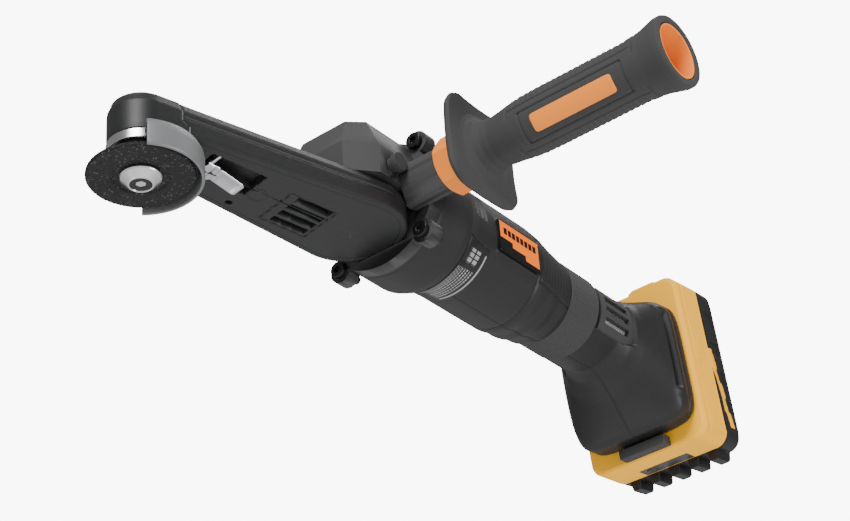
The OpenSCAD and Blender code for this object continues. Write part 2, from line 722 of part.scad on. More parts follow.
module pack_case() on_pack() color(yellow) difference() {
    union() {
        pack_slab(pack_split_x, pack_face_x);
        box([pack_face_x - 1, -slot_half_w, foot_low_z], [pack_face_x + 4.2, slot_half_w, 23.5]);
        box([pack_face_x + 4, -rail_half_w, foot_low_z], [pack_face_x + 10.5, rail_half_w, 23.5]);
    }
    pack_hollow();
    // the latch's room and the terminals' slots
    box([8.6, -15.3, case_low_z + 1.7], [pack_face_x + 1, 15.3, foot_low_z - 1.4]);
    for (i = [-2:2]) box([pack_face_x + 4.5, 7 * i - 1, 3], [pack_face_x + 20, 7 * i + 1, 40]);
    box([gauge_x - 4.5, -16.1, case_low_z - 1], [gauge_x + 4.6, 16.1, case_low_z + 1]);
    gauge_axes(case_low_z - 1) cylinder(r = 2.7, h = 4.5);
}

module gauge_axes(z) translate([gauge_x, -11, z]) children();

module pack_base() on_pack() color(rubber) difference() {
    union() {
        hull() {
            pack_slab(pack_split_x - 12, pack_split_x, $fn = 32);
            translate([pack_back_x, 0, (pack_high_z - 6 + case_low_z + base_chamfer) / 2])
                rotate([0, 90, 0]) linear_extrude(1) rounded_rect(
                    pack_high_z - 6 - case_low_z - base_chamfer, 2 * (pack_half_w - 4), 6, $fn = 32);
        }
        for (y = [-26, -13, 0, 13, 26]) box([pack_split_x - 14, y - 3, pack_low_z],
            [pack_split_x - 1, y + 3, case_low_z + 1]);
    }
    pack_hollow();
}

module pack_cells() on_pack() color("#3f6fb0") for (x = [-16.4, 2.2], i = [-2:2])
    translate([x, 32.5, -2.6 + 18.4 * i]) rotate([90, 0, 0]) cylinder(r = 9.1, h = 65);

module pack_latch() on_pack() color(plastic)
    box([12, -15, case_low_z + 2], [pack_face_x + 7, 15, foot_low_z - 1.7]);

module latch_spring() on_pack() color(steel) translate([8.7, 0, case_low_z + 4.9])
    rotate([0, 90, 0]) tube(2.6, 1.9, 3.2);

module gauge_panel() on_pack() color("#7d7c7a") difference() {
    box([gauge_x - 4.4, -16, case_low_z], [gauge_x + 4.5, 16, case_low_z + 0.9]);
    gauge_axes(case_low_z - 1) cylinder(r = 2.7, h = 4.5);
}

module gauge_button() on_pack() color(rubber) gauge_axes(case_low_z - 0.6) cylinder(r = 2.4, h = 2.6);

gear_case();
gear_case_screws();
lock_button();
lock_spring();
lock_pin();
neck_shell();
neck_cover();
neck_screws();
head_housing();
head_screws();
spindle_nose();
head_upper_bearing();
head_lower_bearing();
output_spindle();
front_pulley();
backing_flange();
abrasive_disc();
clamp_flange();
clamp_bolt();
drive_belt();
main_spindle();
rear_pulley();
bevel_gear();
spindle_upper_bearing();
spindle_lower_bearing();
rotor_shaft();
rotor_core();
cooling_fan();
pinion();
motor_front_bearing();
motor_rear_bearing();
stator();
guard();
guard_lever();
lever_pin();
handle_stud();
handle_nut();
handle_grip();
handle_end_tube();
handle_inserts();
housing_left();
housing_right();
housing_screws();
grip_sleeve();
name_plate();
rating_plate();
intake_covers();
intake_filters();
switch_slider();
switch_body();
control_module();
terminal_block();
pack_case();
pack_base();
pack_cells();
pack_latch();
latch_spring();
gauge_panel();
gauge_button();
guard_band();
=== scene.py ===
"""Looks of a cordless long-reach angle grinder: skins, finishes, light and camera.

Every skin is worked out in the tool's own axes, in millimetres: +X along the motor axis towards
the disc, +Y towards the side handle and +Z away from the disc, with the origin on the motor axis.
"""

import logging
import math
from dataclasses import dataclass, field
from enum import Enum

import bmesh
import bpy
import numpy as np
from mathutils import Matrix, Vector


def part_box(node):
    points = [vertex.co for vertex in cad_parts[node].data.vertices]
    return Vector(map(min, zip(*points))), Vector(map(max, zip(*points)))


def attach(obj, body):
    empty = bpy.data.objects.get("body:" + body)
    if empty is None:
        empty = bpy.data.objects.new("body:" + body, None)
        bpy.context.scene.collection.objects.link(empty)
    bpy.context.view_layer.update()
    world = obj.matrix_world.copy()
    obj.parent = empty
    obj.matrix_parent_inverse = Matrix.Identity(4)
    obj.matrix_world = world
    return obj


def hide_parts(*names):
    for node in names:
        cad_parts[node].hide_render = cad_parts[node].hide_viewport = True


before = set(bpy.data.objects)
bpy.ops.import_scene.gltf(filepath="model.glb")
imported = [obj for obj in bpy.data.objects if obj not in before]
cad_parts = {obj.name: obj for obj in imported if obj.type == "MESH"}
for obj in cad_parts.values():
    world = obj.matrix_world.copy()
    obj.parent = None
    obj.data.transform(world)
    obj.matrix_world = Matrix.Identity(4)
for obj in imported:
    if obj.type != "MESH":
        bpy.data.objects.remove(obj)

log = logging.getLogger("grinder")

CENTRE = np.array([-66.670316, 68.801063, -58.830349])
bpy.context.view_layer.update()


# ---------------------------------------------------------------- axes and meshes


@dataclass(frozen=True)
class Axes:
    """A set of axes inside the tool: an origin in mm and three unit rows."""

    origin: tuple
    rows: tuple

    def place(self, points: np.ndarray) -> np.ndarray:
        """Turns points in these axes into the model's frame.

        Args:
            points: any array whose last axis is x, y, z in mm.

        Returns:
            The same array in metres in the model's frame.
        """
        return (np.asarray(self.origin) + points @ np.asarray(self.rows) - CENTRE) * 0.001


YAW = math.radians(-9.0)
TILT = math.radians(7.0)
SPINDLE_X = 9.5
BELT_CENTRES = 124.0
TOOL = Axes((0, 0, 0), ((1, 0, 0), (0, 1, 0), (0, 0, 1)))
NECK_ROWS = ((math.cos(YAW), math.sin(YAW), 0), (-math.sin(YAW), math.cos(YAW), 0), (0, 0, 1))
NECK = Axes((SPINDLE_X, 0, 0), NECK_ROWS)
DISC = Axes((SPINDLE_X + BELT_CENTRES * math.cos(YAW), BELT_CENTRES * math.sin(YAW), 0), NECK_ROWS)
PACK = Axes((-254, 0, 0), ((math.cos(TILT), 0, -math.sin(TILT)), (0, 1, 0),
                           (math.sin(TILT), 0, math.cos(TILT))))
HANDLE = Axes((-7.4, 0, -4), ((1, 0, 0), (0, 0, -1), (0, 1, 0)))


def step(low: float, high: float, x: np.ndarray) -> np.ndarray:
    """Smooth rise from 0 at low to 1 at high: 3t^2 - 2t^3."""
    t = np.clip((x - low) / (high - low), 0, 1)
    return t * t * (3 - 2 * t)


def window(x: np.ndarray, low: float, high: float, soft: float) -> np.ndarray:
    """1 between low and high, falling smoothly to 0 over soft on each side."""
    return step(low - soft, low, x) * (1 - step(high, high + soft, x))


def line(distance: np.ndarray, width: float) -> np.ndarray:
    """Rounded line: exp(-(distance / width)^2)."""
    return np.exp(-((distance / width) ** 2))


def smooth_curve(knots: list, at: np.ndarray, reach: float) -> np.ndarray:
    """Straight lines between knots, then averaged over a window of the given reach.

    Args:
        knots: pairs of position and value, positions rising.
        at: evenly spaced positions to give the value at.
        reach: half length of the averaging window, in the units of at.

    Returns:
        The value at each position.
    """
    xs, ys = np.array(knots, float).T
    offsets = np.linspace(-1, 1, 15) * reach
    weights = 1 - np.abs(offsets) / (reach * 1.05)
    return (np.interp(at[:, None] + offsets, xs, ys) * weights).sum(1) / weights.sum()


def rounded_rect(angle: np.ndarray, half_w: np.ndarray, half_h: np.ndarray, r: np.ndarray) -> np.ndarray:
    """Distance from the middle of a rounded rectangle to its edge, along each angle.

    Formula: the ray meets the straight sides, unless that point lies in a corner square of side r.
    There it meets the corner's circle instead, by the quadratic for a ray and a circle.
    """
    c, s = np.abs(np.cos(angle)), np.abs(np.sin(angle))
    flat = np.minimum(half_w / np.maximum(c, 1e-9), half_h / np.maximum(s, 1e-9))
    cx, cy = half_w - r, half_h - r
    along = c * cx + s * cy
    inside = np.maximum(along**2 - (cx**2 + cy**2 - r**2), 0)
    corner = along + np.sqrt(inside)
    in_corner = (flat * c > cx) & (flat * s > cy)
    return np.where(in_corner, np.minimum(corner, flat), flat)


def egg(angle: np.ndarray, wide: np.ndarray, up: np.ndarray, down: np.ndarray, n_up: np.ndarray,
        n_down: np.ndarray) -> np.ndarray:
    """Polar radius of a rounded section with its own upper and lower half.

    Formula: (|cos/w|^n + |sin/h|^n)^(-1/n), where h and n are those of the half that the angle is in.
    """
    c, s = np.cos(angle), np.sin(angle)
    h = np.where(s >= 0, up, down)
    n = np.where(s >= 0, n_up, n_down)
    return (np.abs(c / wide) ** n + np.abs(s / h) ** n) ** (-1 / n)


@dataclass
class Skin:
    """A closed surface on a grid: rows follow each other along the piece, columns go round it."""

    name: str
    grid: np.ndarray
    axes: Axes
    masks: dict = field(default_factory=dict)
    sharp: float = 32.0
    ring: bool = False

    def build(self, caps: bool = True) -> bpy.types.Object:
        """Makes the mesh: one quad per cell, and a fan to a pole at each end unless it is a ring.

        Args:
            caps: False where both ends already thin to an edge, which is then merged.

        Returns:
            The object, its faces pointing outwards, with one float attribute per mask.
        """
        rows, cols = self.grid.shape[:2]
        points = self.axes.place(self.grid.reshape(-1, 3))
        here = np.arange(rows * cols).reshape(rows, cols)
        last = rows if self.ring else rows - 1
        a = here[:last]
        d = np.roll(here, -1, 0)[:last]
        b, c = np.roll(a, -1, 1), np.roll(d, -1, 1)
        loops = np.stack([a, b, c, d], -1).reshape(-1, 4)
        starts = np.arange(len(loops)) * 4
        flat = loops.reshape(-1)
        corners = points[loops]
        volume = np.einsum("ij,ij->i", corners[:, 0], np.cross(corners[:, 1], corners[:, 2])).sum()
        volume += np.einsum("ij,ij->i", corners[:, 0], np.cross(corners[:, 2], corners[:, 3])).sum()
        if caps and not self.ring:
            poles = np.array([points[here[0]].mean(0), points[here[-1]].mean(0)])
            n = len(points)
            points = np.vstack([points, poles])
            first = np.stack([np.roll(here[0], -1), here[0], np.full(cols, n)], -1)
            final = np.stack([here[-1], np.roll(here[-1], -1), np.full(cols, n + 1)], -1)
            fans = np.vstack([first, final])
            tri = points[fans]
            volume += np.einsum("ij,ij->i", tri[:, 0], np.cross(tri[:, 1], tri[:, 2])).sum()
            starts = np.concatenate([starts, len(flat) + np.arange(len(fans)) * 3])
            flat = np.concatenate([flat, fans.reshape(-1)])
        if volume < 0:
            ends = np.concatenate([starts[1:], [len(flat)]])
            counts = ends - starts
            flat = flat[np.repeat(starts + ends - 1, counts) - np.arange(len(flat))]
        mesh = bpy.data.meshes.new(self.name)
        mesh.vertices.add(len(points))
        mesh.vertices.foreach_set("co", points.astype(np.float32).ravel())
        mesh.loops.add(len(flat))
        mesh.loops.foreach_set("vertex_index", flat.astype(np.int32))
        mesh.polygons.add(len(starts))
        mesh.polygons.foreach_set("loop_start", starts.astype(np.int32))
        mesh.update(calc_edges=True)
        mesh.validate()
        for key, values in self.masks.items():
            data = np.zeros(len(points), np.float32)
            data[: rows * cols] = np.broadcast_to(values, (rows, cols)).ravel()
            if caps and not self.ring:
                data[-2:] = data[0], data[rows * cols - 1]
            mesh.attributes.new(key, "FLOAT", "POINT").data.foreach_set("value", data)
        if not caps:
            bm = bmesh.new()
            bm.from_mesh(mesh)
            bmesh.ops.remove_doubles(bm, verts=bm.verts, dist=1e-6)
            bm.to_mesh(mesh)
            bm.free()
        mesh.shade_smooth()
        mesh.set_sharp_from_angle(angle=math.radians(self.sharp))
        obj = bpy.data.objects.new(self.name, mesh)
        bpy.context.scene.collection.objects.link(obj)
        return obj


def revolve(profile: list, columns: int, spacing: float = 0.8) -> tuple:
    """Carries a profile of radius and height round the Z axis.

    Args:
        profile: (radius, height) corners, in order.
        columns: points round each ring.
        spacing: distance between rings along the profile, in mm.

    Returns:
        The radius of each ring, its height, and the columns' angles as a row.
    """
    p = np.array(profile, float)
    run = np.concatenate([[0], np.cumsum(np.linalg.norm(np.diff(p, axis=0), axis=1))])
    at = np.unique(np.concatenate([np.arange(0, run[-1], spacing), run]))
    r, h = np.interp(at, run, p[:, 0]), np.interp(at, run, p[:, 1])
    return r[:, None], h[:, None], np.linspace(0, 2 * np.pi, columns, endpoint=False)[None]


def polar(radius: np.ndarray, height: np.ndarray, angle: np.ndarray) -> np.ndarray:
    """Points at radius and angle about the Z axis, at the given height."""
    shape = np.broadcast_shapes(radius.shape, height.shape, angle.shape)
    return np.stack([np.broadcast_to(radius * np.cos(angle), shape),
                     np.broadcast_to(radius * np.sin(angle), shape), np.broadcast_to(height, shape)], -1)


def dress(obj: bpy.types.Object, body: str, finish: "Finish", nodes: tuple = ()) -> bpy.types.Object:
    """Gives a piece its material, the body it rides on and the solids that it stands for."""
    obj.data.materials.clear()
    obj.data.materials.append(finish.material())
    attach(obj, body)
    if nodes:
        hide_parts(*nodes)
    log.info("%s: %d faces, on %s", obj.name, len(obj.data.polygons), body)
    return obj


def softened(node: str, name: str, width: float, body: str, finish: "Finish",
             turn: float = 30.0) -> bpy.types.Object:
    """A solid's shape with its edges rounded.

    Args:
        node: the solid that is copied and replaced.
        name: the new piece's name.
        width: width of the rounding, in mm.
        body: the body that it rides on.
        finish: its finish.
        turn: smallest angle, in degrees, of an edge that is rounded.

    Returns:
        The new object.
    """
    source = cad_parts[node]
    mesh = source.data.copy()
    mesh.name = name
    bm = bmesh.new()
    bm.from_mesh(mesh)
    bmesh.ops.remove_doubles(bm, verts=bm.verts, dist=1e-6)
    bmesh.ops.dissolve_limit(bm, angle_limit=math.radians(0.6), verts=bm.verts, edges=bm.edges)
    bm.to_mesh(mesh)
    bm.free()
    mesh.shade_smooth()
    mesh.set_sharp_from_angle(angle=math.radians(turn))
    obj = bpy.data.objects.new(name, mesh)
    bpy.context.scene.collection.objects.link(obj)
    bevel = obj.modifiers.new("rounding", "BEVEL")
    bevel.width = width * 0.001
    bevel.segments = 3
    bevel.limit_method = "ANGLE"
    bevel.angle_limit = math.radians(turn)
    bevel.harden_normals = True
    bevel.use_clamp_overlap = True
    return dress(obj, body, finish, (node,))


# ---------------------------------------------------------------- finishes


class Texture(Enum):
    """Kind of fine relief that a finish carries."""

    GRAIN = "grain"
    BRUSHED = "brushed"
    GRIT = "grit"
    SMOOTH = "smooth"


def relief_group() -> bpy.types.NodeTree:
    """Node group: fine grain as a bumped normal, uneven colour and uneven roughness."""
    name = "fine_relief"
    if name in bpy.data.node_groups:
        return bpy.data.node_groups[name]
    tree = bpy.data.node_groups.new(name, "ShaderNodeTree")
    face = tree.interface
    for label, kind, value in (("Colour", "NodeSocketColor", (0.05, 0.05, 0.05, 1)),
                               ("Uneven", "NodeSocketFloat", 0.1),
                               ("Scale", "NodeSocketFloat", 1500.0), ("Depth", "NodeSocketFloat", 0.3),
                               ("Stretch", "NodeSocketVector", (1, 1, 1)), ("Roughness", "NodeSocketFloat",
                                                            0.5)):
        face.new_socket(label, in_out="INPUT", socket_type=kind).default_value = value
    for label, kind in (("Colour", "NodeSocketColor"), ("Roughness", "NodeSocketFloat"),
                        ("Normal", "NodeSocketVector")):
        face.new_socket(label, in_out="OUTPUT", socket_type=kind)
    n, l = tree.nodes, tree.links
    gi, go = n.new("NodeGroupInput"), n.new("NodeGroupOutput")
    place = n.new("ShaderNodeTexCoord")
    stretch = n.new("ShaderNodeVectorMath")
    stretch.operation = "MULTIPLY"
    fine, broad, streak = n.new("ShaderNodeTexNoise"), n.new("ShaderNodeTexNoise"), n.new("ShaderNodeTexNoise")
    broad.inputs["Scale"].default_value = 45
    broad.inputs["Detail"].default_value = 5
    streak.inputs["Scale"].default_value = 420
    fine.inputs["Detail"].default_value = 3
    bump = n.new("ShaderNodeBump")
    bump.inputs["Distance"].default_value = 0.0002
    l.new(place.outputs["Object"], stretch.inputs[0])
    l.new(gi.outputs["Stretch"], stretch.inputs[1])
    l.new(stretch.outputs[0], fine.inputs["Vector"])
    l.new(gi.outputs["Scale"], fine.inputs["Scale"])
    l.new(place.outputs["Object"], broad.inputs["Vector"])
    l.new(stretch.outputs[0], streak.inputs["Vector"])
    l.new(gi.outputs["Depth"], bump.inputs["Strength"])
    l.new(fine.outputs["Fac"], bump.inputs["Height"])
    l.new(bump.outputs["Normal"], go.inputs["Normal"])
    spread = n.new("ShaderNodeMath")
    spread.operation = "MULTIPLY_ADD"
    both = n.new("ShaderNodeMath")
    both.operation = "ADD"
    l.new(broad.outputs["Fac"], both.inputs[0])
    l.new(streak.outputs["Fac"], both.inputs[1])
    centred = n.new("ShaderNodeMath")
    centred.operation = "SUBTRACT"
    centred.inputs[1].default_value = 1.0
    l.new(both.outputs[0], centred.inputs[0])
    l.new(centred.outputs[0], spread.inputs[0])
    l.new(gi.outputs["Uneven"], spread.inputs[1])
    spread.inputs[2].default_value = 1.0
    tint = n.new("ShaderNodeVectorMath")
    tint.operation = "SCALE"
    l.new(gi.outputs["Colour"], tint.inputs[0])
    l.new(spread.outputs[0], tint.inputs["Scale"])
    l.new(tint.outputs[0], go.inputs["Colour"])
    rough = n.new("ShaderNodeMath")
    rough.operation = "MULTIPLY"
    l.new(gi.outputs["Roughness"], rough.inputs[0])
    l.new(spread.outputs[0], rough.inputs[1])
    l.new(rough.outputs[0], go.inputs["Roughness"])
    return tree


def edge_group() -> bpy.types.NodeTree:
    """Node group: a mask of the rubbed outer edges, from how sharply the surface turns."""
    name = "rubbed_edges"
    if name in bpy.data.node_groups:
        return bpy.data.node_groups[name]
    tree = bpy.data.node_groups.new(name, "ShaderNodeTree")
    tree.interface.new_socket("Mask", in_out="OUTPUT", socket_type="NodeSocketFloat")
    n, l = tree.nodes, tree.links
    out, geo, ramp = n.new("NodeGroupOutput"), n.new("ShaderNodeNewGeometry"), n.new("ShaderNodeMapRange")
    ramp.inputs["From Min"].default_value = 0.53
    ramp.inputs["From Max"].default_value = 0.66
    l.new(geo.outputs["Pointiness"], ramp.inputs["Value"])
    l.new(ramp.outputs["Result"], out.inputs["Mask"])
    return tree


@dataclass(frozen=True)
class Finish:
    """A finish: colour, gloss and fine relief, with an optional second colour on a painted mask."""

    name: str
    colour: tuple
    rough: float
    metal: float = 0.0
    texture: Texture = Texture.GRAIN
    scale: float = 1500.0
    depth: float = 0.25
    uneven: float = 0.12
    rubbed: float = 0.0
    second: tuple = ()
    mask: str = ""
    coat: float = 0.0
    specular: float = 0.5

    def material(self) -> bpy.types.Material:
        """Makes the material the first time, and gives the same one afterwards."""
        if self.name in bpy.data.materials:
            return bpy.data.materials[self.name]
        mat = bpy.data.materials.new(self.name)
        mat.use_nodes = True
        n, l = mat.node_tree.nodes, mat.node_tree.links
        shader = n["Principled BSDF"]
        shader.inputs["Metallic"].default_value = self.metal
        shader.inputs["Coat Weight"].default_value = self.coat
        shader.inputs["Specular IOR Level"].default_value = self.specular
        relief = n.new("ShaderNodeGroup")
        relief.node_tree = relief_group()
        relief.inputs["Colour"].default_value = (*self.colour, 1)
        relief.inputs["Uneven"].default_value = self.uneven
        relief.inputs["Scale"].default_value = self.scale
        relief.inputs["Depth"].default_value = 0.0 if self.texture is Texture.SMOOTH else self.depth
        relief.inputs["Roughness"].default_value = self.rough
        if self.texture is Texture.BRUSHED:
            relief.inputs["Stretch"].default_value = (1, 1, 6)
        colour = relief.outputs["Colour"]
        if self.mask:
            relief_two = n.new("ShaderNodeMix")
            relief_two.data_type = "RGBA"
            relief_two.inputs["A"].default_value = (*self.colour, 1)
            relief_two.inputs["B"].default_value = (*self.second, 1)
            where = n.new("ShaderNodeAttribute")
            where.attribute_name = self.mask
            crisp = n.new("ShaderNodeMapRange")
            crisp.inputs["From Min"].default_value = 0.42
            crisp.inputs["From Max"].default_value = 0.58
            l.new(where.outputs["Fac"], crisp.inputs["Value"])
            l.new(crisp.outputs["Result"], relief_two.inputs["Factor"])
            l.new(relief_two.outputs["Result"], relief.inputs["Colour"])
        if self.rubbed:
            edge = n.new("ShaderNodeGroup")
            edge.node_tree = edge_group()
            amount = n.new("ShaderNodeMath")
            amount.operation = "MULTIPLY"
            amount.inputs[1].default_value = self.rubbed
            pale = n.new("ShaderNodeMix")
            pale.data_type = "RGBA"
            pale.inputs["B"].default_value = (*[min(1, 0.08 + 2.2 * c) for c in self.colour], 1)
            l.new(edge.outputs["Mask"], amount.inputs[0])
            l.new(amount.outputs[0], pale.inputs["Factor"])
            l.new(colour, pale.inputs["A"])
            colour = pale.outputs["Result"]
        l.new(colour, shader.inputs["Base Color"])
        l.new(relief.outputs["Roughness"], shader.inputs["Roughness"])
        l.new(relief.outputs["Normal"], shader.inputs["Normal"])
        if self.texture is Texture.GRIT:
            self._add_grit(mat, relief)
        return mat

    def _add_grit(self, mat: bpy.types.Material, relief: bpy.types.Node) -> None:
        """Adds coarse abrasive grains: cells that stand proud, and painted glint: a few cells get a lighter base
        colour to stand for sparkle.
        """
        n, l = mat.node_tree.nodes, mat.node_tree.links
        shader = n["Principled BSDF"]
        place, cells = n.new("ShaderNodeTexCoord"), n.new("ShaderNodeTexVoronoi")
        cells.inputs["Scale"].default_value = 1350
        bump = n.new("ShaderNodeBump")
        bump.inputs["Distance"].default_value = 0.0006
        bump.inputs["Strength"].default_value = 0.9
        l.new(place.outputs["Object"], cells.inputs["Vector"])
        l.new(cells.outputs["Distance"], bump.inputs["Height"])
        l.new(relief.outputs["Normal"], bump.inputs["Normal"])
        l.new(bump.outputs["Normal"], shader.inputs["Normal"])
        # painted glint: a few random grain cells get a lighter base colour in place of sparkle from the lamps
        glint_pick = n.new("ShaderNodeMapRange")
        glint_pick.inputs["From Min"].default_value = 0.93
        glint_pick.inputs["From Max"].default_value = 0.96
        split = n.new("ShaderNodeSeparateColor")
        l.new(cells.outputs["Color"], split.inputs["Color"])
        l.new(split.outputs["Red"], glint_pick.inputs["Value"])
        mix = n.new("ShaderNodeMix")
        mix.data_type = "RGBA"
        mix.inputs["B"].default_value = (0.07, 0.07, 0.075, 1)
        l.new(glint_pick.outputs["Result"], mix.inputs["Factor"])
        l.new(relief.outputs["Colour"], mix.inputs["A"])
        l.new(mix.outputs["Result"], shader.inputs["Base Color"])


OVERMOULD = Finish("soft_overmould", (0.0125, 0.0125, 0.013), 0.46, scale=2400, depth=0.2, rubbed=0.22,
                   specular=0.3,
                   mask="film", second=(0.0035, 0.0035, 0.004))
CASTING = Finish("coated_casting", (0.0115, 0.0118, 0.0125), 0.46, scale=2000, depth=0.26, rubbed=0.4,
                 specular=0.32)
GRIP = Finish("grip_rubber", (0.012, 0.012, 0.013), 0.5, scale=2300, depth=0.26, rubbed=0.25, specular=0.3)
GUARD_PAINT = Finish("guard_paint", (0.022, 0.022, 0.024), 0.38, scale=1200, depth=0.10, rubbed=0.5,
                     specular=0.5)
STEEL = Finish("turned_steel", (0.58, 0.58, 0.59), 0.24, metal=1.0, texture=Texture.BRUSHED, scale=900,
               depth=0.12, uneven=0.14)
CHROME = Finish("plated_lever", (0.45, 0.45, 0.47), 0.22, metal=1.0, texture=Texture.SMOOTH, uneven=0.08)
BLACK_STEEL = Finish("blacked_steel", (0.035, 0.035, 0.038), 0.32, metal=0.9, texture=Texture.BRUSHED,
                     scale=900, depth=0.1)
ORANGE = Finish("orange_plastic", (1.0, 0.18, 0.0), 0.42, scale=1600, depth=0.08, uneven=0.05, specular=0.12)
YELLOW = Finish("pack_yellow", (1.0, 0.44, 0.0), 0.42, scale=1500, depth=0.14, uneven=0.05, specular=0.12,
                mask="dark", second=(0.007, 0.007, 0.008))
PACK_BLACK = Finish("pack_black", (0.0085, 0.0085, 0.009), 0.46, scale=1400, depth=0.26, rubbed=0.3,
                    specular=0.3)
PACK_BASE = Finish("pack_base", (0.0085, 0.0085, 0.009), 0.44, scale=1400, depth=0.26, rubbed=0.3,
                   specular=0.3, mask="stripe", second=(1.0, 0.44, 0.0))
GRIT_BLACK = Finish("coarse_grit", (0.006, 0.006, 0.0065), 0.62, texture=Texture.GRIT, scale=1600,
                    depth=0.6, uneven=0.5, specular=0.35)
BADGE = Finish("badge_enamel", (1.0, 0.18, 0.0), 0.35, texture=Texture.SMOOTH, uneven=0.03, mask="dark",
               second=(0.005, 0.005, 0.006), specular=0.12)
MESH_METAL = Finish("dust_mesh", (0.42, 0.42, 0.43), 0.38, metal=1.0, scale=3500, depth=0.8, uneven=0.3)
GAUGE = Finish("gauge_print", (0.030, 0.029, 0.028), 0.4, texture=Texture.SMOOTH, uneven=0.15)
ALLOY = Finish("pulley_alloy", (0.72, 0.72, 0.74), 0.3, metal=1.0, texture=Texture.BRUSHED, scale=900,
               depth=0.1)
COPPER_CORE = Finish("laminated_core", (0.32, 0.31, 0.30), 0.4, metal=0.8, texture=Texture.BRUSHED,
                     scale=1500, depth=0.4)
CELL_WRAP = Finish("cell_sleeve", (0.05, 0.16, 0.42), 0.35, texture=Texture.SMOOTH)
BOARD = Finish("potted_board", (0.012, 0.09, 0.2), 0.3, texture=Texture.SMOOTH)
FILM = Finish("label_film", (0.010, 0.010, 0.011), 0.32, texture=Texture.SMOOTH, uneven=0.15, mask="print",
              second=(0.30, 0.30, 0.30), specular=0.3)
FLOOR = Finish("pale_floor", (0.9, 0.9, 0.9), 0.8, scale=20, depth=0.02, uneven=0.01)


# ---------------------------------------------------------------- sub-assemblies


